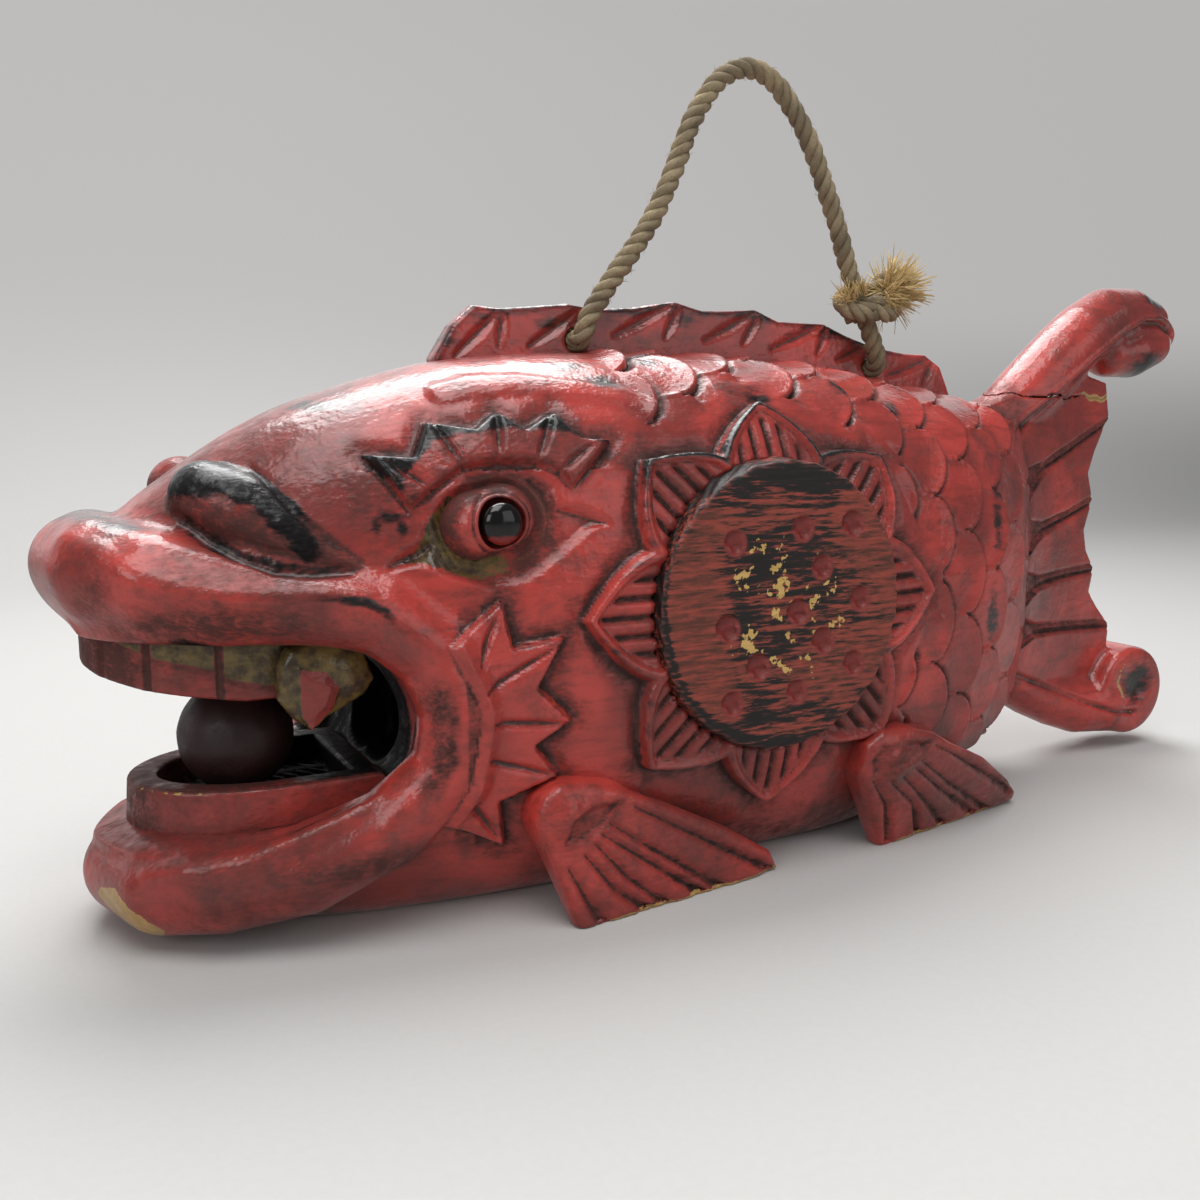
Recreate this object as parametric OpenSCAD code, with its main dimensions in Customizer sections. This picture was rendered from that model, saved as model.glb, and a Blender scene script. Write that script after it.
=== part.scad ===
// Fish board gong: a hollow carved wooden fish with striking plates and a rope.
// Units are millimetres. The nose is at -X, the tail at +X, the floor is z = 0.

/* [Trunk] */
// Length of the carved trunk, lip to tail root
trunk_len = 598; // [570:1:630]
// Height of the back above the floor
trunk_h = 271; // [258:1:288]
// Greatest width of the trunk
trunk_w = 196; // [184:1:214]
// Thickness of the hollowed wall
wall = 24; // [20:0.5:28]
// Squareness of the cross-section
squareness = 2.6; // [2.2:0.1:3]

/* [Mouth] */
// Height of the palate above the floor
mouth_roof = 142; // [136:0.5:148]
// Height of the lower jaw above the floor
mouth_floor = 46; // [42:0.5:50]
// How far back the mouth is cut
mouth_back = 152; // [144:1:160]
// Diameter of the rolled lip
lip_d = 38; // [32:0.5:42]
// Height of the upper tooth row
tooth_h = 34; // [28:0.5:38]
// Thickness of the upper tooth row
tooth_t = 12; // [9:0.5:14]
// Number of grooves between the upper teeth
tooth_grooves = 8; // [4:1:10]
// Width of one fang
fang_w = 44; // [36:1:48]
// Length of one fang
fang_h = 48; // [40:1:52]
// Thickness of one fang
fang_t = 13; // [10:0.5:15]
// Height of the lower gum
gum_h = 24; // [20:0.5:27]
// Width of the raised rim of the gum
gum_rim = 14; // [10:0.5:17]
// Diameter of the pearl held in the mouth
pearl_d = 55; // [50:0.5:58]
// Distance of the pearl behind the nose
pearl_s = 83; // [76:0.5:90]

/* [Eyes] */
// Distance of the eye behind the nose
eye_s = 184; // [176:0.5:192]
// Height of the eye
eye_z = 191; // [184:0.5:198]
// Length of the eyeball
eye_len = 44; // [36:0.5:50]
// Height of the eyeball
eye_h = 31; // [26:0.5:34]
// Diameter of the inlaid pupil bead
pupil_d = 19; // [14:0.5:22]

/* [Striking plates] */
// Diameter of one striking plate
plate_d = 149; // [130:0.5:156]
// Thickness of one striking plate
plate_t = 14; // [11:0.5:18]
// Depth of the round seat in the flank
plate_seat = 8; // [5:0.5:9]
// Distance of the plate centre behind the nose
plate_s = 334; // [322:1:344]
// Height of the plate centre
plate_z = 144; // [136:1:152]

/* [Dorsal fin] */
// Thickness of the dorsal fin board
dorsal_t = 16; // [12:0.5:20]
// Depth of its tongue in the seam
dorsal_tongue = 14; // [11:0.5:17]
// Height of the fin crest above the back
dorsal_h = 30; // [26:0.5:38]

/* [Side fins] */
// Root radius of a pectoral fin
pectoral_r = 17; // [14:0.5:19]
// Distance of the pectoral root behind the nose
pectoral_s = 212; // [202:1:222]
// Length of the pectoral fin foot
pectoral_len = 122; // [100:1:134]
// Root radius of a pelvic fin
pelvic_r = 15; // [12:0.5:17]
// Distance of the pelvic root behind the nose
pelvic_s = 411; // [400:1:418]
// Length of the pelvic fin foot
pelvic_len = 122; // [104:1:128]

/* [Tail] */
// How far the tail reaches behind the trunk
tail_reach = 146; // [136:1:156]
// Thickness of the tail board at its root
tail_t = 28; // [22:0.5:32]
// Thickness of the tail board at its rear edge
tail_edge_t = 12; // [10:0.5:16]
// Height of the glued joint below the upper lobe
lobe_joint_z = 252; // [248:0.5:256]
// Diameter of the rolled upper lobe
lobe_d = 42; // [36:0.5:46]
// Diameter of the lower scroll
scroll_d = 64; // [56:0.5:68]

/* [Pegs] */
// Diameter of the seam and joint pegs
peg_d = 10; // [8:0.5:11]
// Diameter of the fine pegs of plates and dorsal fin
pin_d = 6; // [5:0.5:7]

/* [Rope] */
// Diameter of the rope
rope_d = 11; // [9:0.5:11.5]
// Diameter of the two rope holes in the dorsal fin
rope_hole_d = 12.6; // [12.2:0.2:14]

/* [Fit] */
// Clearance between a piece and its seat
gap = 0.25; // [0.2:0.05:0.4]

/* [Hidden] */
$fn = 48;

total_len = trunk_len + tail_reach;
half_w = trunk_w / 2;
lacquer = [0.62, 0.10, 0.05];
dark = [0.15, 0.06, 0.05];
gold = [0.70, 0.52, 0.22];
bare = [0.72, 0.56, 0.38];
hemp = [0.80, 0.68, 0.45];

// Side view of the trunk: share of the length, share of the height or half width
back_line = [[0.023, 0.59], [0.05, 0.694], [0.10, 0.786], [0.167, 0.878], [0.234, 0.934],
  [0.318, 0.982], [0.418, 1], [0.552, 1], [0.669, 0.988], [0.769, 0.959], [0.853, 0.93],
  [0.92, 0.908], [0.962, 0.889], [0.987, 0.863], [1, 0.81]];
keel_line = [[0.023, 0.19], [0.05, 0.11], [0.10, 0.03], [0.167, -0.02], [0.234, -0.04],
  [0.318, -0.044], [0.418, -0.044], [0.552, -0.044], [0.669, -0.044], [0.769, -0.015],
  [0.853, 0.033], [0.92, 0.085], [0.962, 0.122], [0.987, 0.162], [1, 0.23]];
side_line = [[0.023, 0.22], [0.05, 0.46], [0.10, 0.60], [0.167, 0.72], [0.234, 0.82],
  [0.318, 0.92], [0.418, 0.98], [0.552, 1], [0.669, 0.965], [0.769, 0.87], [0.853, 0.73],
  [0.92, 0.53], [0.962, 0.36], [0.987, 0.24], [1, 0.17]];
rings = [0.023, 0.035, 0.05, 0.075, 0.10, 0.133, 0.167, 0.20, 0.234, 0.276, 0.318, 0.368,
  0.418, 0.485, 0.552, 0.61, 0.669, 0.72, 0.769, 0.81, 0.853, 0.888, 0.92, 0.942, 0.962,
  0.976, 0.987, 1];
hollow_rings = [0.30, 0.34, 0.40, 0.48, 0.56, 0.64, 0.72, 0.78, 0.83, 0.87];
skin_sides = 32;
hollow_sides = 16;

// Lip ring from the middle of the upper lip round the corner to the chin:
// distance behind the nose, share of the half width, height, share of the lip radius
lip_ring = [
  [22, 0, mouth_roof + 31, 1.15], [27, 0.24, mouth_roof + 31, 1.15],
  [44, 0.44, mouth_roof + 27, 1.10], [70, 0.56, mouth_roof + 20, 1],
  [105, 0.66, mouth_roof + 15, 0.90], [135, 0.74, mouth_roof + 9, 0.85],
  [158, 0.80, mouth_roof - 10, 0.82], [167, 0.84, (mouth_roof + mouth_floor) / 2 + 12, 0.80],
  [161, 0.82, mouth_floor + 32, 0.86], [136, 0.75, mouth_floor + 7, 0.96],
  [100, 0.64, mouth_floor - 10, 1.08], [66, 0.50, mouth_floor - 16, 1.15],
  [44, 0.32, mouth_floor - 18, 1.2], [34, 0, mouth_floor - 18, 1.2]];
nostril_path = [[70, 0.38, 205, 15], [82, 0.47, 201, 14], [95, 0.58, 191, 9.5], [110, 0.70, 181, 3.5]];
brow_outline = [[132, 221], [153, 220], [161, 235], [182, 232], [193, 240], [205, 232], [220, 240],
  [231, 228], [247, 227], [235, 214], [223, 204], [217, 212], [206, 216], [190, 217], [174, 214],
  [159, 204], [148, 196]];
cheek_outline = [[159, 137], [186, 156], [191, 135], [216, 138], [203, 115], [220, 98], [202, 87],
  [214, 71], [186, 61], [191, 36], [158, 53], [167, 73], [172, 99], [171, 111]];
relief = 6;

// Pointed petals around a plate, with a raised rim
petals = 8;
petal_tip = plate_d / 2 + 34.5;
petal_root = plate_d / 2 - 8.5;
petal_half = 33;
petal_rim = 5;
petal_sink = 2.6;

// Overlapping scales behind the petals: first free edge and spacing as shares of the trunk length
scale_first = 0.674;
scale_step = 0.0518;
scale_rows = 7;
scale_half = 25;
scale_round = 21;
scale_rise = 3;
scale_mid = 150;

// Crest of the dorsal fin: share of the trunk length, share of the crest height
crest = [[0.311, 0.05], [0.3278, 0.55], [0.3478, 0.86], [0.3712, 0.78], [0.3946, 0.80], [0.4381, 0.86],
  [0.4615, 0.70], [0.5017, 0.84], [0.5552, 1], [0.5786, 0.86], [0.6054, 0.92], [0.6488, 1],
  [0.6756, 0.84], [0.7023, 0.90], [0.7391, 0.96], [0.7659, 0.80], [0.7893, 0.74], [0.8261, 0.74],
  [0.8629, 0.82], [0.8796, 0.62], [0.8896, 0.05]];

// Tail outline behind the trunk end: distance, height
fan_rear = [[81, lobe_joint_z], [86, 238], [72, 214], [66, 200], [73, 181], [65, 160], [69, 146],
  [80, 132], [76, 116], [86, 104], [100, 90], [99, 74], [106, 60]];
lobe_path = [[-20, 234, 0.86], [2, 250, 0.95], [20, 264, 1], [38, 279, 1], [58, 294, 1], [80, 305, 1],
  [102, 308, 0.90], [120, 304, 0.81], [134, 296, 0.62]];
curl_path = [[86, 280, 0.67], [106, 283, 0.81], [124, 288, 0.71]];
scroll_path = [[-20, 70, 0.41], [0, 58, 0.44], [24, 46, 0.47], [50, 37, 0.53], [74, 32, 0.62],
  [96, 32, 0.69]];
// Wedge grooves between the rays of the tail: distance behind the trunk end, height
ray_cuts = [
  [[-10, 206], [36, 221], [95, 243], [95, 237], [43, 213], [-8, 190]],
  [[-8, 172], [26, 174], [85, 188], [85, 181], [32, 165], [-6, 152]],
  [[-4, 136], [35, 137], [90, 136], [90, 129], [36, 127], [-4, 118]],
  [[-4, 104], [38, 99], [110, 93], [110, 85], [39, 89], [-4, 86]]];
ray_depth = 3;
scroll_z = 42;
scroll_w = 40;
tenon_len = 54;
tenon_low = 90;
tenon_high = 206;

// Rope route on the near face of the fin: share of the trunk length, height above the back
rope_y = -(dorsal_t / 2 + rope_d / 2 + 0.7);
rope_points = [[0.4431, 7], [0.4515, 20], [0.4716, 37], [0.4933, 54], [0.5167, 74], [0.5368, 99],
  [0.5552, 124], [0.5803, 145], [0.6104, 154], [0.6405, 150], [0.6672, 135], [0.689, 116],
  [0.7074, 94], [0.7258, 69], [0.7425, 44], [0.7575, 27], [0.7709, 11], [0.7793, -3]];
function on_back(p) = [p[0] * trunk_len, p[1] + trunk_h];
rope_route = [for (p = rope_points) on_back(p)];
knot_at = on_back([0.7542, 32]);
rope_sides = 10;

// Smooth curve through a table of stations
function span(t, x, i = 0) = (i >= len(t) - 2 || x <= t[i + 1][0]) ? i : span(t, x, i + 1);
function chord(t, i, j) = (t[j][1] - t[i][1]) / (t[j][0] - t[i][0]);
function slope(t, i) = chord(t, max(i - 1, 0), min(i + 1, len(t) - 1));
function hermite(y0, y1, m0, m1, k) =
  (2 * k * k * k - 3 * k * k + 1) * y0 + (k * k * k - 2 * k * k + k) * m0
  + (3 * k * k - 2 * k * k * k) * y1 + (k * k * k - k * k) * m1;
function curve(t, x) =
  let (i = span(t, x), d = t[i + 1][0] - t[i][0])
  hermite(t[i][1], t[i + 1][1], slope(t, i) * d, slope(t, i + 1) * d, (x - t[i][0]) / d);

// Trunk surface: top, bottom, half width and the flank at a height
function back_z(s) = trunk_h * curve(back_line, s / trunk_len);
function keel_z(s) = trunk_h * curve(keel_line, s / trunk_len);
function side_y(s) = half_w * curve(side_line, s / trunk_len);
function mid_z(s) = (back_z(s) + keel_z(s)) / 2;
function half_h(s) = (back_z(s) - keel_z(s)) / 2;
function flank_y(s, z) =
  side_y(s) * pow(max(0.001, 1 - pow(abs(z - mid_z(s)) / half_h(s), squareness)), 1 / squareness);
function lobed(v) = sign(v) * pow(abs(v), 2 / squareness);
function section(s, inset, sides) = [for (j = [0:sides - 1])
  [s, (side_y(s) - inset) * lobed(sin(360 * j / sides)),
    mid_z(s) + (half_h(s) - inset) * lobed(cos(360 * j / sides))]];

// Closed skin through a list of point rings
module ring_skin(loops) {
  n = len(loops[0]);
  m = len(loops);
  points = [for (loop = loops) for (p = loop) p];
  sides = [for (i = [0:m - 2]) for (j = [0:n - 1])
    [i * n + j, i * n + (j + 1) % n, (i + 1) * n + (j + 1) % n, (i + 1) * n + j]];
  front = [for (j = [0:n - 1]) n - 1 - j];
  rear = [for (j = [0:n - 1]) (m - 1) * n + j];
  polyhedron(points, concat(sides, [front], [rear]), convexity = 6);
}

// Moves a piece from the nose to the middle of the whole fish
module centred() {
  translate([-total_len / 2, 0, 0]) children();
}

module trunk_skin(grow) {
  ring_skin([for (u = rings) section(u * trunk_len, -grow, skin_sides)]);
}

// The belly is planed flat, so the chamber sits higher to keep its floor as thick as its walls
belly_cut = 12;

module sound_chamber() {
  lift = belly_cut / 2;
  translate([0, 0, lift]) ring_skin([for (u = hollow_rings) let (s = u * trunk_len)
    [for (j = [0:hollow_sides - 1]) let (a = 360 * j / hollow_sides)
      [s, (side_y(s) - wall) * lobed(sin(a)), mid_z(s) + (half_h(s) - wall - lift) * lobed(cos(a))]]]);
}

// Flat outline in the side view, swept through the left half
module side_sweep(from, to) {
  translate([0, -from, 0]) rotate([90, 0, 0]) linear_extrude(to - from) children();
}

module bead(p, r) {
  translate(p) sphere(r, $fn = 16);
}

module lip_half() {
  for (i = [0:len(lip_ring) - 2]) {
    a = lip_ring[i];
    b = lip_ring[i + 1];
    hull() {
      bead([a[0], -a[1] * half_w, a[2]], a[3] * lip_d / 2);
      bead([b[0], -b[1] * half_w, b[2]], b[3] * lip_d / 2);
    }
  }
}

module nostril_half() {
  for (i = [0:len(nostril_path) - 2]) {
    a = nostril_path[i];
    b = nostril_path[i + 1];
    hull() {
      bead([a[0], -a[1] * half_w, a[2]], a[3]);
      bead([b[0], -b[1] * half_w, b[2]], b[3]);
    }
  }
}

function petal_side(u) = petal_half * (1.4 * u - 0.4 * u * u);

module petal_outline(inset) {
  steps = 8;
  reach = petal_tip - petal_root;
  edge = [for (i = [0:steps]) [petal_tip - reach * i / steps, petal_side(i / steps)]];
  translate([plate_s, plate_z]) {
    for (k = [0:petals - 1]) {
      rotate(k * 360 / petals) offset(delta = -inset)
        polygon(concat(edge, [for (i = [steps:-1:1]) [edge[i][0], -edge[i][1]]]));
    }
  }
}

// Brow, cheek frill and plate petals stand proud of the flank
module flank_relief() {
  intersection() {
    trunk_skin(relief);
    side_sweep(20, 160) {
      polygon(brow_outline);
      polygon(cheek_outline);
      difference() {
        petal_outline(0);
        petal_outline(petal_rim);
      }
    }
  }
  intersection() {
    trunk_skin(relief - petal_sink);
    side_sweep(20, 160) petal_outline(petal_rim - 2);
  }
}

// Each row of scales rises from its root to a free edge that faces the tail
module scale_row(row) {
  edge = trunk_len * (scale_first + scale_step * row);
  root = edge - 1.4 * scale_step * trunk_len;
  intersection() {
    ring_skin([for (u = [0, 0.5, 1])
      section(root + u * (edge + 2 - root), scale_rise * (1 - 2 * u), skin_sides)]);
    side_sweep(tail_t / 2 + 1, 160) difference() {
      for (j = [-2:1]) {
        z = scale_mid + scale_half * (2 * j + (row + 1) % 2);
        polygon(concat([[root - 1, z + scale_half + 1], [root - 1, z - scale_half - 1]],
          [for (a = [-90:22.5:90]) [edge + scale_round * (cos(a) - 1), z + (scale_half + 1) * sin(a)]]));
      }
      translate([plate_s, plate_z]) circle(petal_tip + 3);
      translate([trunk_len - 26, 0.78 * trunk_h]) square(trunk_h);
    }
  }
}

module mouth_slot() {
  r = (mouth_roof - mouth_floor) / 2;
  translate([0, trunk_w, 0]) rotate([90, 0, 0]) linear_extrude(2 * trunk_w) {
    translate([mouth_back - r, mouth_floor + r]) circle(r);
    translate([-30, mouth_floor]) square([mouth_back - r + 30, 2 * r]);
  }
}

// Passage from the mouth into the sound chamber
module throat() {
  translate([mouth_back - 30, 0, (mouth_roof + mouth_floor) / 2]) rotate([0, 90, 0])
    cylinder(h = 100, r = 26);
}

// Plan of a jaw arch: front, half width, tail end
function arch(front, wide, back, steps) = concat(
  [for (k = [0:steps]) let (a = 90 + 180 * k / steps)
    [front + wide * 1.3 + wide * 1.3 * cos(a), wide * sin(a)]],
  [[back, -wide], [back, wide]]);

module tooth_band(grow) {
  translate([0, 0, mouth_roof + 5 - tooth_h - grow]) linear_extrude(tooth_h + 2 * grow)
    difference() {
      offset(delta = grow) polygon(arch(16, 48, 92, 12));
      offset(delta = -grow) polygon(arch(16 + tooth_t, 48 - tooth_t, 120, 12));
    }
}

module upper_teeth() {
  color(gold) centred() difference() {
    tooth_band(0);
    for (k = [0:tooth_grooves]) {
      a = 90 + 180 * k / tooth_grooves;
      translate([16 + 62 + 62 * cos(a), 48 * sin(a), mouth_roof - tooth_h - 10])
        rotate([0, 0, a]) cube([4, 2.4, 2 * tooth_h], center = true);
    }
  }
}

module fang_body(grow) {
  side_sweep(50 - grow, 50 + fang_t + grow) offset(delta = grow)
    polygon([[94, mouth_roof + 6], [94 + fang_w, mouth_roof + 6], [94 + fang_w, mouth_roof - 12],
      [94 + fang_w * 0.5, mouth_roof + 6 - fang_h], [94, mouth_roof - 22]]);
}

module fang_left() {
  color(gold) centred() fang_body(0);
}

module fang_right() {
  color(gold) centred() mirror([0, 1, 0]) fang_body(0);
}

pearl_z = mouth_floor + gap + gum_h / 2 + pearl_d / 2;

module gum_block(grow) {
  translate([0, 0, mouth_floor + gap - grow]) linear_extrude(gum_h + 2 * grow)
    offset(delta = grow) polygon(arch(31, 50, mouth_back - 8, 12));
}

module lower_gum() {
  color(lacquer) centred() difference() {
    gum_block(0);
    translate([0, 0, mouth_floor + gap + gum_h / 2 + 1]) linear_extrude(gum_h)
      polygon(arch(31 + gum_rim, 50 - gum_rim, mouth_back, 12));
    translate([pearl_s, 0, pearl_z]) sphere(pearl_d / 2 + gap);
  }
}

module mouth_pearl() {
  color(dark) centred() translate([pearl_s, 0, pearl_z]) sphere(pearl_d / 2);
}

eye_y = flank_y(eye_s, eye_z) - 4;

module eye_oval(r) {
  reach = (eye_len - eye_h) / 2;
  hull() {
    translate([eye_s - reach, -eye_y, eye_z - 3]) sphere(r, $fn = 20);
    translate([eye_s + reach, -eye_y, eye_z + 3]) sphere(r, $fn = 20);
  }
}

module eye_half() {
  difference() {
    eye_oval(eye_h / 2);
    pupil_half(gap);
  }
}

module eye_left() {
  color(lacquer) centred() eye_half();
}

module eye_right() {
  color(lacquer) centred() mirror([0, 1, 0]) eye_half();
}

// Domed bead on a round shank, its axis across the fish
module pupil_half(grow) {
  translate([eye_s + 1, -eye_y - eye_h / 2 + 7, eye_z]) rotate([90, 0, 0]) rotate_extrude()
    polygon(concat([[0, -grow]], [[pupil_d / 2 + grow, -grow]],
      [for (a = [0:15:90]) [(pupil_d / 2 + grow) * cos(a), 5 + (pupil_d / 4 + grow) * sin(a)]]));
}

module pupil_left() {
  color(dark) centred() pupil_half(0);
}

module pupil_right() {
  color(dark) centred() mirror([0, 1, 0]) pupil_half(0);
}

plate_back = flank_y(plate_s, plate_z) - plate_seat;

module plate_disc(grow, reach) {
  translate([plate_s, -plate_back + grow, plate_z]) rotate([90, 0, 0])
    cylinder(h = reach + grow, r = plate_d / 2 + grow, $fn = 64);
}

module pin_ring(grow, reach) {
  for (k = [0:3]) {
    translate([plate_s + 0.36 * plate_d * cos(90 * k + 45), -plate_back + 9 + grow,
      plate_z + 0.36 * plate_d * sin(90 * k + 45)]) rotate([90, 0, 0])
        cylinder(h = reach + 2 * grow, r = pin_d / 2 + grow, $fn = 16);
  }
}

module plate_half() {
  difference() {
    plate_disc(-gap, plate_t);
    pin_ring(gap, 17);
  }
}

module strike_plate_left() {
  color(lacquer) centred() plate_half();
}

module strike_plate_right() {
  color(lacquer) centred() mirror([0, 1, 0]) plate_half();
}

module plate_pins() {
  color(bare) centred() {
    pin_ring(0, 17);
    mirror([0, 1, 0]) pin_ring(0, 17);
  }
}

// Side view of the dorsal fin board with its tongue
module dorsal_outline() {
  front = crest[0][0] * trunk_len + 4;
  rear = crest[len(crest) - 1][0] * trunk_len - 4;
  polygon(concat([for (c = crest) let (s = c[0] * trunk_len) [s, back_z(s) + dorsal_h * c[1]]],
    [for (k = [10:-1:0]) let (s = front + (rear - front) * k / 10) [s, back_z(s) - dorsal_tongue]]));
}

module dorsal_board(grow) {
  translate([0, dorsal_t / 2 + grow, 0]) rotate([90, 0, 0]) linear_extrude(dorsal_t + 2 * grow)
    offset(delta = grow) dorsal_outline();
}

module rope_bores() {
  for (p = [rope_route[0], rope_route[len(rope_route) - 1]]) {
    translate([p[0], dorsal_t, p[1]]) rotate([90, 0, 0]) cylinder(h = 2 * dorsal_t, r = rope_hole_d / 2);
  }
}

// Pegs of the dorsal fin: share of the trunk length
dorsal_pin_at = [0.361, 0.552, 0.702, 0.844];
dorsal_pin_len = 42;

module dorsal_pin_set(grow) {
  for (u = dorsal_pin_at) {
    s = u * trunk_len;
    translate([s, dorsal_pin_len / 2 + grow, back_z(s) - dorsal_tongue / 2]) rotate([90, 0, 0])
      cylinder(h = dorsal_pin_len + 2 * grow, r = pin_d / 2 + grow, $fn = 16);
  }
}

module dorsal_fin() {
  color(lacquer) centred() difference() {
    translate([0, dorsal_t / 2, 0]) rotate([90, 0, 0]) linear_extrude(dorsal_t) dorsal_outline();
    rope_bores();
    dorsal_pin_set(gap);
  }
}

module dorsal_pins() {
  color(bare) centred() dorsal_pin_set(0);
}

// A side fin: a shoulder on the flank and a long foot on the floor that stands out from the belly
module side_fin_body(r, s, z, foot, front_y, rear_y) {
  hull() {
    translate([s, -flank_y(s, z) - 5, z]) sphere(r, $fn = 20);
    translate([s + 1.8 * r, -flank_y(s, z) - 5, z + 3]) sphere(r * 0.75, $fn = 16);
    translate([s + 8, -front_y, 5]) sphere(r * 0.42, $fn = 16);
    translate([s + 8 + foot, -rear_y, 5]) sphere(r * 0.38, $fn = 16);
  }
}

pectoral_z = 52;
pelvic_z = 54;

module pectoral_body(grow) {
  side_fin_body(pectoral_r + grow, pectoral_s, pectoral_z, pectoral_len, half_w + 5, half_w - 11);
}

module pelvic_body(grow) {
  side_fin_body(pelvic_r + grow, pelvic_s, pelvic_z, pelvic_len, half_w - 14, half_w - 36);
}

module fin_peg(s, z, grow) {
  translate([s, -flank_y(s, z) + 20 + grow, z]) rotate([90, 0, 0])
    cylinder(h = 36 + 2 * grow, r = peg_d / 2 + grow, $fn = 16);
}

module below_floor() {
  translate([-50, -trunk_w, -60]) cube([total_len + 100, 2 * trunk_w, 60]);
}

module pectoral_half() {
  difference() {
    pectoral_body(0);
    below_floor();
    fin_peg(pectoral_s, pectoral_z, gap);
  }
}

module pelvic_half() {
  difference() {
    pelvic_body(0);
    below_floor();
    fin_peg(pelvic_s, pelvic_z, gap);
  }
}

module pectoral_fin_left() {
  color(lacquer) centred() pectoral_half();
}

module pectoral_fin_right() {
  color(lacquer) centred() mirror([0, 1, 0]) pectoral_half();
}

module pelvic_fin_left() {
  color(lacquer) centred() pelvic_half();
}

module pelvic_fin_right() {
  color(lacquer) centred() mirror([0, 1, 0]) pelvic_half();
}

module fin_peg_pair() {
  fin_peg(pectoral_s, pectoral_z, 0);
  fin_peg(pelvic_s, pelvic_z, 0);
}

module fin_pegs() {
  color(bare) centred() {
    fin_peg_pair();
    mirror([0, 1, 0]) fin_peg_pair();
  }
}

// Tongue of the tail board, let into the trunk
module tail_tenon(grow) {
  translate([trunk_len - tenon_len - grow, -tail_t / 2 - grow, tenon_low - grow])
    cube([tenon_len + 40, tail_t + 2 * grow, tenon_high - tenon_low + 2 * grow]);
}

module tail_peg_set(grow) {
  for (z = [tenon_low + 30, tenon_high - 30]) {
    translate([trunk_len - tenon_len / 2, 28 + grow, z]) rotate([90, 0, 0])
      cylinder(h = 56 + 2 * grow, r = peg_d / 2 + grow, $fn = 16);
  }
}

module lobe_peg_set(grow) {
  for (s = [22, 56]) {
    translate([trunk_len + s, 0, lobe_joint_z - 18 - grow])
      cylinder(h = 36 + 2 * grow, r = peg_d / 2 + grow, $fn = 16);
  }
}

module tail_pegs() {
  color(bare) centred() tail_peg_set(0);
}

module lobe_pegs() {
  color(bare) centred() lobe_peg_set(0);
}

// Rolled edge along a path given behind the trunk end
module rolled_edge(path, d) {
  for (i = [0:len(path) - 2]) {
    a = path[i];
    b = path[i + 1];
    hull() {
      bead([trunk_len + a[0], 0, a[1]], a[2] * d / 2);
      bead([trunk_len + b[0], 0, b[1]], b[2] * d / 2);
    }
  }
}

// Plan of the tail board behind the trunk end, thinner towards its rear edge
module tail_plan(inset) {
  root = tail_t / 2 - inset;
  edge = tail_edge_t / 2 - inset;
  polygon([[-40, root], [10, root], [80, edge], [tail_reach, edge], [tail_reach, -edge], [80, -edge],
    [10, -root], [-40, -root]]);
}

// A board given by its outline in the side view
module tail_board(outline) {
  intersection() {
    translate([trunk_len, tail_t / 2, 0]) rotate([90, 0, 0]) linear_extrude(tail_t) polygon(outline);
    translate([trunk_len, 0, 0]) linear_extrude(2 * trunk_h) tail_plan(0);
  }
}

// Grooves that follow the thinning faces of the tail board
module ray_grooves() {
  difference() {
    for (cut = ray_cuts) {
      translate([trunk_len, tail_t, 0]) rotate([90, 0, 0]) linear_extrude(2 * tail_t) polygon(cut);
    }
    translate([trunk_len, 0, 0]) linear_extrude(2 * trunk_h) tail_plan(ray_depth);
  }
}

module tail_fan() {
  reach = tail_reach - scroll_d / 2;
  color(lacquer) centred() difference() {
    union() {
      tail_tenon(0);
      difference() {
        tail_board(concat([[-30, 80], [-30, lobe_joint_z]], fan_rear, [[92, 30], [42, 38], [2, 54]]));
        ray_grooves();
      }
      rolled_edge(lobe_path, lobe_d);
      rolled_edge(scroll_path, scroll_d);
      translate([trunk_len + reach, scroll_w / 2, scroll_z]) rotate([90, 0, 0])
        cylinder(h = scroll_w, r = scroll_d / 2);
    }
    translate([trunk_len - 80, -60, lobe_joint_z]) cube([300, 120, 200]);
    intersection() {
      trunk_skin(gap);
      difference() {
        translate([trunk_len - 90, -80, 0]) cube([100, 160, trunk_h]);
        tail_tenon(0);
      }
    }
    tail_peg_set(gap);
    lobe_peg_set(gap);
    below_floor();
  }
}

module tail_upper_lobe() {
  color(lacquer) centred() difference() {
    union() {
      rolled_edge(lobe_path, lobe_d);
      rolled_edge(curl_path, lobe_d);
      tail_board([[0, 240], [83, 240], [81, 262], [90, 285], [60, 285]]);
    }
    translate([trunk_len - 80, -60, lobe_joint_z - 100 + gap]) cube([300, 120, 100]);
    lobe_peg_set(gap);
  }
}

seam_peg_at = [[118, back_z(118) - 16], [262, 11], [330, 11], [400, 11], [470, 15]];

module seam_peg_set(grow) {
  for (p = seam_peg_at) {
    translate([p[0], 16 + grow, p[1]]) rotate([90, 0, 0])
      cylinder(h = 32 + 2 * grow, r = peg_d / 2 + grow, $fn = 16);
  }
}

module seam_pegs() {
  color(bare) centred() seam_peg_set(0);
}

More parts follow.
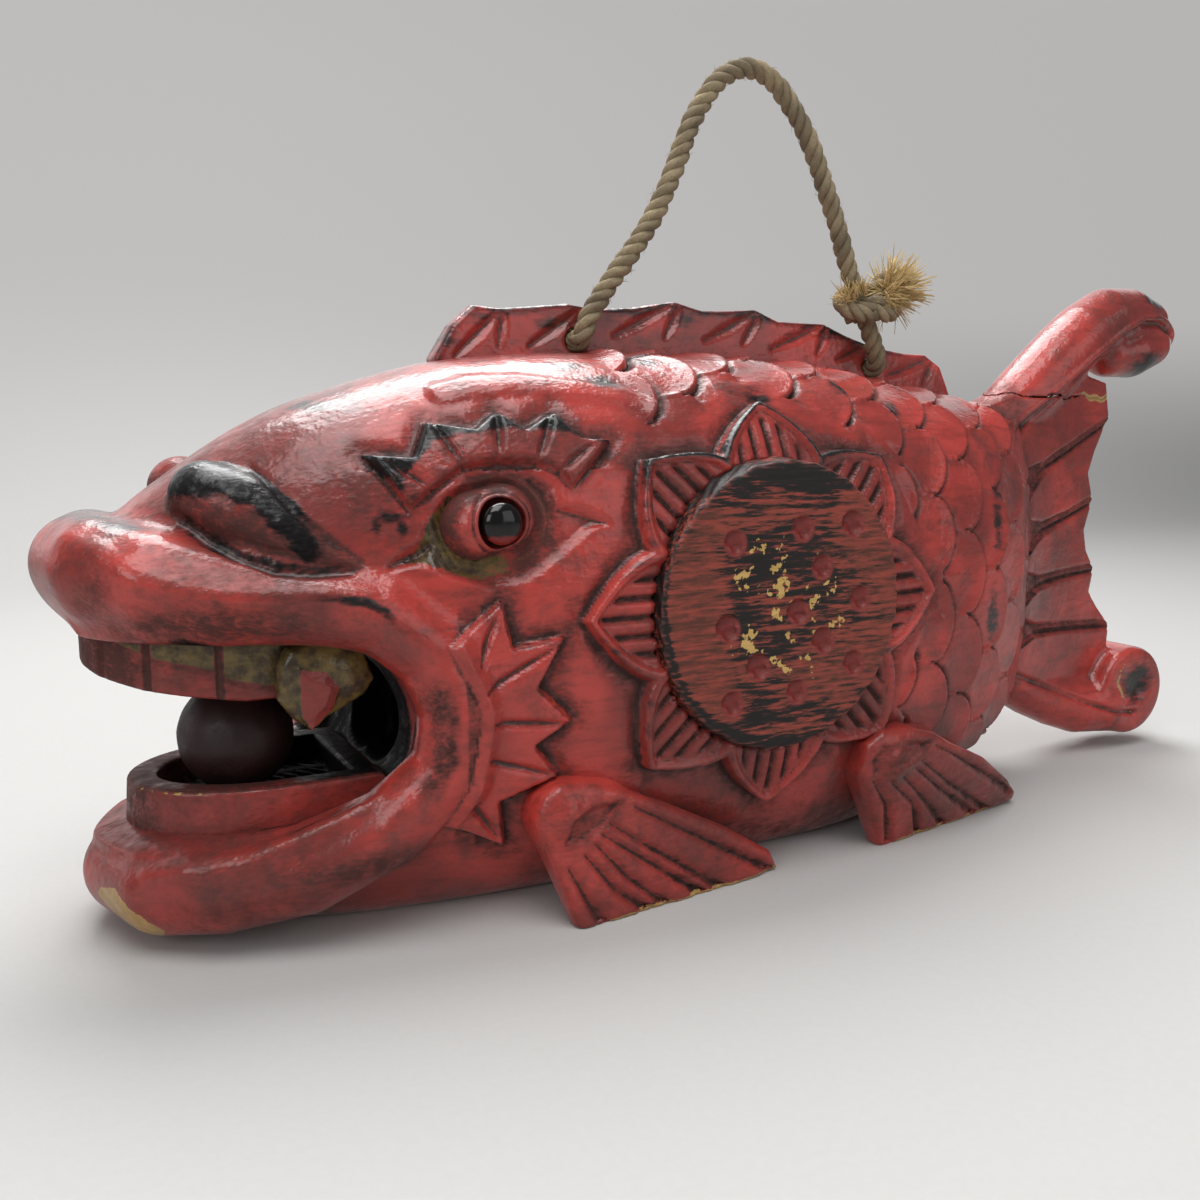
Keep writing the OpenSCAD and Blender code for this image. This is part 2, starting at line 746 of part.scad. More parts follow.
module trunk_half() {
  difference() {
    intersection() {
      union() {
        difference() {
          union() {
            trunk_skin(0);
            flank_relief();
            for (row = [0:scale_rows - 1]) scale_row(row);
          }
          mouth_slot();
        }
        lip_half();
        nostril_half();
      }
      translate([-50, -2 * trunk_w, 0]) cube([total_len, 2 * trunk_w, 2 * trunk_h]);
    }
    sound_chamber();
    throat();
    tooth_band(gap);
    fang_body(gap);
    gum_block(gap);
    eye_oval(eye_h / 2 + gap);
    plate_disc(0, 60);
    pin_ring(gap, 17);
    pectoral_body(gap);
    pelvic_body(gap);
    fin_peg(pectoral_s, pectoral_z, gap);
    fin_peg(pelvic_s, pelvic_z, gap);
    dorsal_board(gap);
    dorsal_pin_set(gap);
    tail_tenon(gap);
    tail_peg_set(gap);
    seam_peg_set(gap);
  }
}

module trunk_left() {
  color(lacquer) centred() trunk_half();
}

module trunk_right() {
  color(lacquer) centred() mirror([0, 1, 0]) trunk_half();
}

// Round cord along a list of points, closed at both ends
function unit(v) = v / norm(v);
function run_dir(p, i) = unit(p[min(i + 1, len(p) - 1)] - p[max(i - 1, 0)]);
function cord_ring(c, d, r, n) =
  let (u = unit(cross(d, abs(d[1]) < 0.8 ? [0, 1, 0] : [1, 0, 0])), v = cross(d, u))
  [for (j = [0:n - 1]) c + r * (u * cos(360 * j / n) + v * sin(360 * j / n))];

module cord(p, r) {
  ring_skin([for (i = [0:len(p) - 1]) cord_ring(p[i], run_dir(p, i), r, rope_sides)]);
}

module rope_loop() {
  route = [for (p = rope_route) [p[0], rope_y, p[1]]];
  color(hemp) centred() cord(route, rope_d / 2);
}

module rope_knot() {
  at = [knot_at[0], rope_y - 2, knot_at[1]];
  color(hemp) centred() {
    hull() {
      translate(at + [-5, 0, -3]) sphere(12, $fn = 20);
      translate(at + [6, 0, 4]) sphere(11, $fn = 20);
    }
    hull() {
      translate(at + [8, -2, 2]) sphere(6, $fn = 16);
      translate(at + [34, -6, 4]) sphere(10, $fn = 16);
    }
    hull() {
      translate(at + [-8, -2, -2]) sphere(6, $fn = 16);
      translate(at + [-20, -6, -2]) sphere(7, $fn = 16);
    }
  }
}

module rope_tuck() {
  a = rope_route[0];
  b = rope_route[len(rope_route) - 1];
  back = -rope_y;
  route = [[a[0], -dorsal_t / 2, a[1]], [a[0], dorsal_t / 2 - 2, a[1]], [a[0] + 2, back - 3, a[1]],
    [a[0] + 9, back, a[1]], for (k = [0.15, 0.35, 0.5, 0.65, 0.85])
      [a[0] + (b[0] - a[0]) * k, back, a[1] + (b[1] - a[1]) * k + 3],
    [b[0] - 9, back, b[1]], [b[0] - 2, back - 3, b[1]], [b[0], dorsal_t / 2 - 2, b[1]],
    [b[0], -dorsal_t / 2, b[1]]];
  color(hemp) centred() cord(route, rope_d / 2);
}

trunk_left();
trunk_right();
seam_pegs();
dorsal_fin();
dorsal_pins();
tail_fan();
tail_upper_lobe();
tail_pegs();
lobe_pegs();
upper_teeth();
fang_left();
fang_right();
lower_gum();
mouth_pearl();
eye_left();
eye_right();
pupil_left();
pupil_right();
strike_plate_left();
strike_plate_right();
plate_pins();
pectoral_fin_left();
pectoral_fin_right();
pelvic_fin_left();
pelvic_fin_right();
fin_pegs();
rope_loop();
rope_knot();
rope_tuck();
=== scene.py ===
"""Looks of the fish board gong: a carved, red-lacquered hollow fish with a rope.

Carved pieces are shaped in millimetres from the nose (s), across (y) and up (z), in blocks of
sample points that are added to and cut as a carver would, then skinned and moved into the frame.
"""
import math

import bmesh
import bpy
import numpy as np
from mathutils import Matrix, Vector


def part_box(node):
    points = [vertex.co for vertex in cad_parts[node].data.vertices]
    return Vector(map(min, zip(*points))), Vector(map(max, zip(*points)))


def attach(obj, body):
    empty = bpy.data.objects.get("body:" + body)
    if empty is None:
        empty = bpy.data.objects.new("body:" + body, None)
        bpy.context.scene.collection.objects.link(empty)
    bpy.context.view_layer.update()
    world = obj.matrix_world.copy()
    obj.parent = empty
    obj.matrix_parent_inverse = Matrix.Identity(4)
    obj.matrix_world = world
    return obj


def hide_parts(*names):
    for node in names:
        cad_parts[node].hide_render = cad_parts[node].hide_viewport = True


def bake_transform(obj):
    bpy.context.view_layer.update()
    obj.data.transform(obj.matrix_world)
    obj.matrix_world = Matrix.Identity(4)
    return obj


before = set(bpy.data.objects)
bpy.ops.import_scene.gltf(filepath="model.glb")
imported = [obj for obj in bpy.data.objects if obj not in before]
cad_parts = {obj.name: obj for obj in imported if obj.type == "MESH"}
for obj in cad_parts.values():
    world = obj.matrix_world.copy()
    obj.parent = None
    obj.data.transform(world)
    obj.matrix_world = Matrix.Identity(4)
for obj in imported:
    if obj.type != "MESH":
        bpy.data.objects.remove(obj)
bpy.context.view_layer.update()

MM = 0.001
HALF_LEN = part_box("tail_fan")[1].x / MM        # nose to the middle of the fish
TRUNK_LEN = 598.0
TRUNK_H = 271.0
HALF_W = 98.0
SQUARENESS = 2.6
PLATE_S, PLATE_Z, PLATE_R = 334.0, 144.0, 74.25
PLATE_BACK, PLATE_FACE = -90.0, -104.0
EYE_S, EYE_Z = 184.0, 191.0
EYE_LINE = ((EYE_S - 7, EYE_Z - 1.5), (EYE_S + 6, EYE_Z + 1.5))
SIDES = (("left", False), ("right", True))      # name, and whether the piece is mirrored
rng = np.random.default_rng(11)


# Curves and distances

BACK_LINE = np.array([
    (0.023, 0.59), (0.05, 0.694), (0.10, 0.786), (0.167, 0.878), (0.234, 0.934), (0.318, 0.982),
    (0.418, 1), (0.552, 1), (0.669, 0.988), (0.769, 0.959), (0.853, 0.93), (0.92, 0.908),
    (0.962, 0.889), (0.987, 0.863), (1, 0.81)])
KEEL_LINE = np.array([
    (0.023, 0.19), (0.05, 0.11), (0.10, 0.03), (0.167, -0.02), (0.234, -0.04), (0.318, -0.044),
    (0.418, -0.044), (0.552, -0.044), (0.669, -0.044), (0.769, -0.015), (0.853, 0.033),
    (0.92, 0.085), (0.962, 0.122), (0.987, 0.162), (1, 0.23)])
SIDE_LINE = np.array([
    (0.023, 0.22), (0.05, 0.46), (0.10, 0.60), (0.167, 0.72), (0.234, 0.82), (0.318, 0.92),
    (0.418, 0.98), (0.552, 1), (0.669, 0.965), (0.769, 0.87), (0.853, 0.73), (0.92, 0.53),
    (0.962, 0.36), (0.987, 0.24), (1, 0.17)])


def curve(table, x):
    """Smooth curve through a table of stations, as in the part's source."""
    t, v = table[:, 0], table[:, 1]
    last = len(t) - 1
    low, high = np.maximum(np.arange(last + 1) - 1, 0), np.minimum(np.arange(last + 1) + 1, last)
    slope = (v[high] - v[low]) / (t[high] - t[low])
    x = np.clip(x, t[0], t[-1])
    i = np.clip(np.searchsorted(t, x) - 1, 0, last - 1)
    d = t[i + 1] - t[i]
    k = (x - t[i]) / d
    return ((2 * k**3 - 3 * k**2 + 1) * v[i] + (k**3 - 2 * k**2 + k) * slope[i] * d
            + (3 * k**2 - 2 * k**3) * v[i + 1] + (k**3 - k**2) * slope[i + 1] * d)


def back_z(s):
    return TRUNK_H * curve(BACK_LINE, s / TRUNK_LEN)


def keel_z(s):
    return TRUNK_H * curve(KEEL_LINE, s / TRUNK_LEN)


def side_y(s):
    return HALF_W * curve(SIDE_LINE, s / TRUNK_LEN)


def flank_y(s, z):
    middle, half = (back_z(s) + keel_z(s)) / 2, (back_z(s) - keel_z(s)) / 2
    rest = 1 - (np.abs(z - middle) / half) ** SQUARENESS
    return side_y(s) * np.maximum(rest, 0.001) ** (1 / SQUARENESS)


def smoothstep(low, high, x):
    k = np.clip((x - low) / (high - low), 0, 1)
    return k * k * (3 - 2 * k)


def soft_min(a, b, k):
    if k <= 0:
        return np.minimum(a, b)
    h = np.maximum(k - np.abs(a - b), 0) / k
    return np.minimum(a, b) - h * h * k / 4


def soft_max(a, b, k):
    return -soft_min(-a, -b, k)


def most(first, *others):
    """The largest of several values at each point."""
    for other in others:
        first = np.maximum(first, other)
    return first


def line_distance(x, z, a, b):
    """Distance to a stroke from a to b, and the share of the way along it."""
    dx, dz = b[0] - a[0], b[1] - a[1]
    t = np.clip(((x - a[0]) * dx + (z - a[1]) * dz) / (dx * dx + dz * dz), 0, 1)
    return np.hypot(x - a[0] - t * dx, z - a[1] - t * dz), t


def outline_depth(x, z, outline):
    """How deep a point lies inside an outline; negative outside."""
    nearest = np.full(np.shape(x), 1e9)
    inside = np.zeros(np.shape(x), bool)
    for a, b in zip(outline, outline[1:] + outline[:1]):
        nearest = np.minimum(nearest, line_distance(x, z, a, b)[0])
        if a[1] != b[1]:
            crosses = (a[1] > z) != (b[1] > z)
            inside ^= crosses & (x < (b[0] - a[0]) * (z - a[1]) / (b[1] - a[1]) + a[0])
    return np.where(inside, nearest, -nearest)


def side_depth(s, z, outline):
    """Depth inside an outline seen from the side, for the sample points of a block."""
    return outline_depth(*np.broadcast_arrays(s[:, :, 0], z[0]), outline)[:, None, :]


def chain(points):
    return list(zip(points, points[1:]))


def spot(x, z, x0, z0, rx, rz):
    """A soft oval patch."""
    return np.exp(-((x - x0) / rx) ** 2 - ((z - z0) / rz) ** 2)


def along_line(x, z, points, width):
    """A soft band along a line of strokes."""
    near = np.full(np.shape(x), 1e3)
    for a, b in chain(points):
        near = np.minimum(near, line_distance(x, z, a, b)[0])
    return smoothstep(width, width * 0.25, near)


def rod_distance(s, y, z, path, flat=(1, 1, 1)):
    """Distance to a round rod through (s, y, z, radius) points; flat squeezes its section."""
    d = 1e3
    for a, b in chain([np.array(p, float) for p in path]):
        q = [(c - v) * f for c, v, f in zip((s, y, z), a[:3], flat)]
        e = (b[:3] - a[:3]) * flat
        t = np.clip(sum(c * v for c, v in zip(q, e)) / max(e @ e, 1e-9), 0, 1)
        gap = np.sqrt(sum((c - t * v) ** 2 for c, v in zip(q, e)))
        d = np.minimum(d, gap - a[3] - t * (b[3] - a[3]))
    return d


def v_cuts(x, z, strokes, width, depth):
    """Depth of V-shaped gouge strokes that run out at both ends."""
    cut = np.zeros(np.shape(x))
    for a, b in strokes:
        d, t = line_distance(x, z, a, b)
        taper = 0.35 + 0.65 * np.sin(np.pi * (0.12 + 0.76 * t))
        cut = np.maximum(cut, depth * taper * np.clip(1 - d / (width * taper), 0, 1))
    return cut


# Carving block

BLEND_REACH = 12                                # how far from a rod its blend into the wood is worked out


class Block:
    """Sample points in a box; d is the distance to the carved surface, negative in the wood."""

    def __init__(self, low, high, pitch):
        self.pitch = pitch
        self.axes = [np.arange(a, b + pitch, pitch, dtype=np.float32) for a, b in zip(low, high)]
        self.d = np.full([len(a) for a in self.axes], 1e3, np.float32)

    def near(self, low, high):
        """The slices of the block inside a smaller box, and their coordinates."""
        cut = tuple(slice(np.searchsorted(a, l), np.searchsorted(a, h) + 1)
                    for a, l, h in zip(self.axes, low, high))
        s, y, z = (a[c] for a, c in zip(self.axes, cut))
        return cut, s[:, None, None], y[None, :, None], z[None, None, :]

    def everywhere(self):
        return self.near([a[0] for a in self.axes], [a[-1] for a in self.axes])

    def add(self, cut, d, k=0.0):
        self.d[cut] = soft_min(self.d[cut], d, k)

    def take(self, cut, d, k=0.0):
        self.d[cut] = soft_max(self.d[cut], -d, k)

    def rod(self, path, k, remove=False, flat=(1, 1, 1)):
        """Adds or removes a rod."""
        reach = max(p[3] for p in path) / min(flat) + BLEND_REACH
        places = np.array([p[:3] for p in path])
        cut, s, y, z = self.near(places.min(0) - reach, places.max(0) + reach)
        if 0 not in self.d[cut].shape:
            d = rod_distance(s, y, z, path, flat).astype(np.float32)
            (self.take if remove else self.add)(cut, d, k)

    def skin(self):
        """Quads over the surface: one point in each cell that the surface crosses."""
        d = self.d
        shape = [n - 1 for n in d.shape]
        wood = d < 0
        corners = [(i, j, k) for i in (0, 1) for j in (0, 1) for k in (0, 1)]
        count = np.zeros(shape, np.int8)
        for i, j, k in corners:
            count += wood[i:i + shape[0], j:j + shape[1], k:k + shape[2]]
        cells = np.argwhere((count > 0) & (count < 8))
        total = np.zeros((len(cells), 3))
        hits = np.zeros(len(cells))
        for c in corners:
            for axis in range(3):
                if c[axis]:
                    continue
                far = list(c)
                far[axis] = 1
                da = d[tuple((cells + c).T)]
                db = d[tuple((cells + far).T)]
                across = (da < 0) != (db < 0)
                place = np.repeat(np.array([c], float), len(cells), 0)
                place[:, axis] = np.where(across, da / np.where(across, da - db, 1), 0)
                total += place * across[:, None]
                hits += across
        points = (cells + total / hits[:, None]) * self.pitch + [a[0] for a in self.axes]
        number = np.full(shape, -1, np.int32)
        number[tuple(cells.T)] = np.arange(len(cells))
        quads = []
        for axis in range(3):
            u, v = (axis + 1) % 3, (axis + 2) % 3
            ahead = np.roll(wood, -1, axis)
            edge = wood != ahead
            for other in (u, v):
                edge.swapaxes(0, other)[0] = False
                edge.swapaxes(0, other)[-1] = False
            edge.swapaxes(0, axis)[-1] = False
            at = np.argwhere(edge)
            ring = []
            for du, dv in ((-1, -1), (0, -1), (0, 0), (-1, 0)):
                cell = at.copy()
                cell[:, u] += du
                cell[:, v] += dv
                ring.append(number[tuple(cell.T)])
            ring = np.stack(ring, 1)
            out = wood[tuple(at.T)]
            ring[~out] = ring[~out][:, ::-1]
            quads.append(ring)
        quads = np.concatenate(quads)
        return Skin(points, quads[(quads >= 0).all(1)])


class Skin:
    """Points and quads of a carved piece, with the values that its lacquer reads."""

    def __init__(self, points, quads):
        self.p = points
        self.quads = quads
        self.values = {}

    def edges(self):
        q = self.quads
        e = np.concatenate([q[:, [i, (i + 1) % 4]] for i in range(4)])
        return np.unique(np.sort(e, 1), axis=0)

    def normals(self):
        a, b, c, d = (self.p[self.quads[:, i]] for i in range(4))
        face = np.cross(c - a, d - b)
        n = np.stack([sum(np.bincount(self.quads[:, i], face[:, k], len(self.p)) for i in range(4))
                      for k in range(3)], 1)
        return n / np.maximum(np.linalg.norm(n, axis=1), 1e-9)[:, None]

    def relaxed(self, rounds):
        """The points after rounds of moving each to the mean of its neighbours."""
        e = self.edges()
        near = np.maximum(np.bincount(e.ravel(), minlength=len(self.p)), 1)
        p = self.p.copy()
        for _ in range(rounds):
            mean = np.stack([(np.bincount(e[:, 0], p[e[:, 1], k], len(p))
                              + np.bincount(e[:, 1], p[e[:, 0], k], len(p))) / near for k in range(3)], 1)
            p = p + 0.6 * (mean - p)
        return p

    def push(self, height):
        self.p = self.p + self.normals() * height[:, None]

    def mark(self, **values):
        """Gives the skin its wear and painted shade, and its hollowness at two sizes: positive in cuts,
        negative on edges.
        """
        self.values = values
        n = self.normals()
        for name, rounds, scale in (("fine_hollow", 5, 0.55), ("wide_hollow", 40, 1.7)):
            lift = ((self.relaxed(rounds) - self.p) * n).sum(1)
            self.values[name] = np.clip(lift / scale, -1, 1)
        return self


def in_frame(points):
    return (np.asarray(points, float) - (HALF_LEN, 0, 0)) * MM


def add_mesh(name, points, faces, values, material):
    """A smooth mesh in the frame, with the values that its material reads."""
    mesh = bpy.data.meshes.new(name)
    mesh.from_pydata(points.tolist(), [], faces)
    for key, value in values.items():
        mesh.attributes.new(key, "FLOAT", "POINT").data.foreach_set("value", value.astype(np.float32))
    mesh.shade_smooth()
    mesh.materials.append(material)
    piece = bpy.data.objects.new(name, mesh)
    bpy.context.scene.collection.objects.link(piece)
    return piece


def make_piece(name, skin, material, node_name, flip=False, cap=False, body="gong"):
    """A carved piece that stands for a CAD node; flip mirrors it to the far side."""
    p, quads = in_frame(skin.p), skin.quads
    if flip:
        p, quads = p * (1, -1, 1), quads[:, ::-1]
    piece = add_mesh(name, p, quads.tolist(), skin.values, material)
    if cap:
        close_rims(piece.data)
    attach(piece, body)
    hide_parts(node_name)


def close_rims(mesh):
    """Fills the flat open rims of a half piece, so that it stays one solid."""
    b = bmesh.new()
    b.from_mesh(mesh)
    rim = [e for e in b.edges if e.is_boundary]
    bmesh.ops.contextual_create(b, geom=rim)
    b.to_mesh(mesh)
    b.free()


# Materials

LACQUER_IOR = 1.5
USUAL = {  # settings of a kind of node unless a call gives others, and the output that is read
    "Mix": ({"data_type": "RGBA"}, 2),
    "MapRange": ({"interpolation_type": "SMOOTHSTEP"}, 0),
    "Math": ({"operation": "MULTIPLY_ADD"}, 0),
    "VectorMath": ({"operation": "MULTIPLY"}, 0),
    "Attribute": ({}, "Fac")}


def srgb(code):
    """Linear colour of an sRGB hex code."""
    parts = [int(code[i:i + 2], 16) / 255 for i in (1, 3, 5)]
    return [c / 12.92 if c <= 0.04045 else ((c + 0.055) / 1.055) ** 2.4 for c in parts] + [1]


def node(tree, kind, inputs, out=None, **settings):
    """Adds a node: inputs are values, hex colours or the sockets that feed it, settings its properties."""
    usual, first = USUAL.get(kind, ({}, 0))
    n = tree.nodes.new("ShaderNode" + kind)
    for key, value in {**usual, **settings}.items():
        setattr(n, key, value)
    for key, value in inputs.items():
        if isinstance(value, bpy.types.NodeSocket):
            tree.links.new(value, n.inputs[key])
        else:
            n.inputs[key].default_value = srgb(value) if isinstance(value, str) else value
    return n.outputs[first if out is None else out] if len(n.outputs) else n


def new_material(name):
    """An empty material, its node tree and places on the piece in millimetres."""
    m = bpy.data.materials.new(name)
    m.use_nodes = True
    t = m.node_tree
    t.nodes.clear()
    place = node(t, "TexCoord", {}, "Object")
    return m, t, node(t, "VectorMath", {0: place, "Scale": 1 / MM}, operation="SCALE")


def red_lacquer():
    """Red lacquer brushed over black on carved wood: satin, sooty and darkened with painted shade in the cuts
    and broad hollows, rubbed black on the edges that hands reach, painted black where the skin marks shade,
    as inside the mouth, chipped to pale wood, with old gold paint in the eye hollows and on the teeth."""
    m, t, mm = new_material("red_lacquer_on_wood")
    along, pores = (node(t, "VectorMath", {0: mm, 1: (k, 1, 1)}) for k in (0.11, 0.3))
    # Patterns: where each is read, its size in millimetres, detail and roughness
    cloud, streak, speck, tool, grit, pebble, grime = (
        node(t, "TexNoise", {"Vector": at, "Scale": 1 / size, "Detail": detail, "Roughness": rough})
        for at, size, detail, rough in (
            (mm, 60, 3, 0.5), (along, 4.5, 4, 0.6), (mm, 8, 5, 0.65), (mm, 12, 1.5, 0.4),
            (pores, 1.5, 3, 0.5), (mm, 3.2, 1, 0.5), (mm, 26, 8, 0.75)))
    fine, wide, black, bare, gold, marked = (
        node(t, "Attribute", {}, attribute_name=name)
        for name in ("fine_hollow", "wide_hollow", "black", "bare", "gold", "stain"))

    # Red that thins in streaks, with grime over it
    colour = node(t, "MapRange", {0: cloud, 1: 0.38, 2: 0.62})
    colour = node(t, "Mix", {0: colour, 6: "#B83C34", 7: "#8A2F29"})
    thin = node(t, "MapRange", {0: streak, 1: 0.45, 2: 0.75, 4: 0.45})
    grime = node(t, "MapRange", {0: grime, 1: 0.46, 2: 0.68, 4: 0.62})

    # Old gold paint, greenish and dirty, with the brush still showing
    dirt = node(t, "MapRange", {0: speck, 1: 0.36, 2: 0.66})
    dull = node(t, "Mix", {0: streak, 6: "#8A7138", 7: "#4A3C1E"})
    dull = node(t, "Mix", {0: dirt, 6: dull, 7: "#3A2C1C"})
    ragged = node(t, "Math", {0: speck, 1: 0.9, 2: -0.75})
    ragged = node(t, "Math", {0: grit, 1: 0.6, 2: ragged})
    painted = node(t, "Math", {0: gold, 1: ragged}, operation="ADD")
    painted = node(t, "MapRange", {0: painted, 1: 0.38, 2: 0.62})

    # Soft brown stains and painted shade in broad hollows, smoky marks and painted shade where the skin marks
    # them, sooty painted shade in the narrow cuts
    stain = node(t, "Math", {0: wide, 1: ragged}, operation="ADD")
    stain = node(t, "MapRange", {0: stain, 1: 0.2, 2: 0.95, 4: 0.66})
    smoke_and_shade = node(t, "Math", {0: ragged, 1: 2.2, 2: 1.0})
    smoke_and_shade = node(t, "Math", {0: smoke_and_shade, 1: marked}, operation="MULTIPLY")
    smoke_and_shade = node(t, "MapRange", {0: smoke_and_shade, 1: 0.05, 2: 0.9, 4: 0.92})
    keep = node(t, "Math", {0: painted, 1: -0.8, 2: 1.0})
    smoke_and_shade = node(t, "Math", {0: smoke_and_shade, 1: keep}, operation="MULTIPLY")
    soot_and_cut_shade = node(t, "Math", {0: ragged, 1: 0.9, 2: fine})
    soot_and_cut_shade = node(t, "MapRange", {0: soot_and_cut_shade, 1: 0.4, 2: 1.05, 4: 0.72})

    # Black ground where the red is rubbed through, and painted black shade where the skin marks black in
    # shaded places such as the mouth's inside
    blackened = node(t, "Math", {0: streak, 1: 0.8, 2: -0.4})
    blackened = node(t, "Math", {0: ragged, 1: 0.65, 2: blackened})
    blackened = node(t, "Math", {0: blackened, 1: black}, operation="ADD")
    blackened = node(t, "Math", {0: fine, 1: -0.22, 2: blackened})
    blackened = node(t, "MapRange", {0: blackened, 1: 0.26, 2: 0.84})

    # Chips down to the wood
    chip = node(t, "Math", {0: bare, 1: ragged}, operation="ADD")
    chip = node(t, "MapRange", {0: chip, 1: 0.48, 2: 0.55})
    wood = node(t, "Mix", {0: streak, 6: "#C7A268", 7: "#8F6A38"})

    for mask, tint in ((thin, "#64261F"), (grime, "#4B2D28"), (painted, dull), (stain, "#4A2A26"),
                       (smoke_and_shade, "#4A3431"), (soot_and_cut_shade, "#2F201E"), (blackened, "#131011"), (chip, wood)):
        colour = node(t, "Mix", {0: mask, 6: colour, 7: tint})
    shine = node(t, "MapRange", {0: smoke_and_shade, 3: 0.85, 4: 0.04}, interpolation_type="LINEAR")
    glint = node(t, "MapRange", {0: smoke_and_shade, 3: 0.3, 4: 0.06}, interpolation_type="LINEAR")
    film, rough = (
        node(t, "MapRange", {0: speck, 1: 0.3, 2: 0.7, 3: low, 4: high}, interpolation_type="LINEAR")
        for low, high in ((0.1, 0.24), (0.36, 0.54)))
    for mask, more in ((soot_and_cut_shade, 0.2), (smoke_and_shade, 0.16), (painted, 0.18), (chip, 0.4)):
        rough = node(t, "Math", {0: mask, 1: more, 2: rough})
    relief = {}
    for height, depth in ((tool, 0.7), (streak, 0.14), (pebble, 0.3), (grit, 0.15)):
        relief["Normal"] = node(t, "Bump", {"Height": height, "Distance": depth * MM, **relief})
    shader = node(t, "BsdfPrincipled", {
        "Base Color": colour, "Roughness": rough, "IOR": LACQUER_IOR, "Specular IOR Level": glint,
        "Coat Weight": shine, "Coat Roughness": film, "Coat Normal": relief["Normal"], **relief})
    node(t, "OutputMaterial", {"Surface": shader})
    return m


def struck_lacquer():
    """The same lacquer on the end of a struck board: rubbed in streaks along the grain to the black
    ground, clean red in the dents, painted shade in the narrow hollows and a painted highlight on raised
    edges, with a few flakes of gold leaf still left."""
    m, t, mm = new_material("struck_lacquer_on_wood")
    along = node(t, "VectorMath", {0: mm, 1: (0.11, 1, 1)})
    # Patterns: where each is read, its size in millimetres, detail and roughness
    streak, broad, speck, flake = (
        node(t, "TexNoise", {"Vector": at, "Scale": 1 / size, "Detail": detail, "Roughness": rough})
        for at, size, detail, rough in (
            (along, 1.9, 5, 0.7), (mm, 46, 3, 0.5), (mm, 6, 4, 0.5), (mm, 9, 6, 0.6)))
    fine, black, gold, dent = (
        node(t, "Attribute", {}, attribute_name=name) for name in ("fine_hollow", "black", "gold", "dent"))
    brown = node(t, "MapRange", {0: streak, 1: 0.38, 2: 0.60, 4: 0.85})
    blackened = node(t, "Math", {0: streak, 1: 2.4, 2: black})
    blackened = node(t, "Math", {0: broad, 1: 1.3, 2: blackened})
    blackened = node(t, "MapRange", {0: blackened, 1: 1.94, 2: 2.26})
    # Painted shade in the narrow hollows, and a painted highlight along the raised edges
    soot_and_cut_shade = node(t, "MapRange", {0: fine, 1: 0.3, 2: 1.0, 4: 0.6})
    pale = node(t, "MapRange", {0: fine, 1: -0.25, 2: -0.8, 4: 0.45})
    flake = node(t, "Math", {0: gold, 1: 0.25, 2: flake})
    flake = node(t, "MapRange", {0: flake, 1: 0.81, 2: 0.825})
    leaf = node(t, "Mix", {0: streak, 6: "#E2BE74", 7: "#A77E36"})
    colour = node(t, "Mix", {0: speck, 6: "#A84636", 7: "#7A3226"})
    for mask, tint in ((brown, "#4A2A1C"), (blackened, "#17110F"), (dent, "#7E2C28"), (soot_and_cut_shade, "#2A1110"),
                       (pale, "#A4544A"), (flake, leaf)):
        colour = node(t, "Mix", {0: mask, 6: colour, 7: tint})
    rough = node(t, "MapRange", {0: streak, 1: 0.3, 2: 0.7, 3: 0.36, 4: 0.56}, interpolation_type="LINEAR")
    skin = node(t, "Bump", {"Height": streak, "Distance": 0.45 * MM})
    shader = node(t, "BsdfPrincipled", {
        "Base Color": colour, "Roughness": rough, "IOR": LACQUER_IOR, "Normal": skin})
    node(t, "OutputMaterial", {"Surface": shader})
    return m


def dark_lacquer():
    """Lacquer that was never lit or rubbed: dark maroon, dull with dust."""
    m, t, mm = new_material("dark_maroon_lacquer")
    cloud = node(t, "TexNoise", {"Vector": mm, "Scale": 1 / 16, "Detail": 4.0})
    grit = node(t, "TexNoise", {"Vector": mm, "Scale": 1 / 1.5, "Detail": 3.0})
    colour = node(t, "Mix", {0: cloud, 6: "#3A1C1C", 7: "#241617"})
    rough = node(t, "MapRange", {0: grit, 1: 0.3, 2: 0.7, 3: 0.42, 4: 0.6}, interpolation_type="LINEAR")
    skin = node(t, "Bump", {"Height": grit, "Distance": 0.1 * MM})
    shader = node(t, "BsdfPrincipled", {
        "Base Color": colour, "Roughness": rough, "IOR": LACQUER_IOR, "Normal": skin})
    node(t, "OutputMaterial", {"Surface": shader})
    return m


def black_gloss():
    """Black lacquer polished to a gloss on the pupil, with red left low on the bead."""
    m, t, mm = new_material("polished_black_lacquer")
    black = node(t, "Attribute", {}, attribute_name="black")
    dust = node(t, "TexNoise", {"Vector": mm, "Scale": 1 / 3, "Detail": 4.0})
    ragged = node(t, "Math", {0: dust, 1: 0.8, 2: -0.4})
    share = node(t, "Math", {0: black, 1: ragged}, operation="ADD")
    share = node(t, "MapRange", {0: share, 1: 0.05, 2: 0.7})
    colour = node(t, "Mix", {0: share, 6: "#7C231E", 7: "#100E0E"})
    rough = node(t, "MapRange", {0: dust, 1: 0.3, 2: 0.7, 3: 0.08, 4: 0.2}, interpolation_type="LINEAR")
    shader = node(t, "BsdfPrincipled", {"Base Color": colour, "Roughness": rough, "IOR": 1.55})
    node(t, "OutputMaterial", {"Surface": shader})
    return m


def peg_wood():
    """Bare soft wood of split pegs: pale, straight-grained and matt."""
    m, t, mm = new_material("bare_peg_wood")
    along = node(t, "VectorMath", {0: mm, 1: (1, 0.12, 1)})
    grain = node(t, "TexNoise", {"Vector": along, "Scale": 1 / 1.5, "Detail": 4.0, "Roughness": 0.6})
    colour = node(t, "Mix", {0: grain, 6: "#C9A873", 7: "#A27C4A"})
    skin = node(t, "Bump", {"Height": grain, "Distance": 0.1 * MM})
    shader = node(t, "BsdfPrincipled", {"Base Color": colour, "Roughness": 0.7, "Normal": skin})
    node(t, "OutputMaterial", {"Surface": shader})
    return m


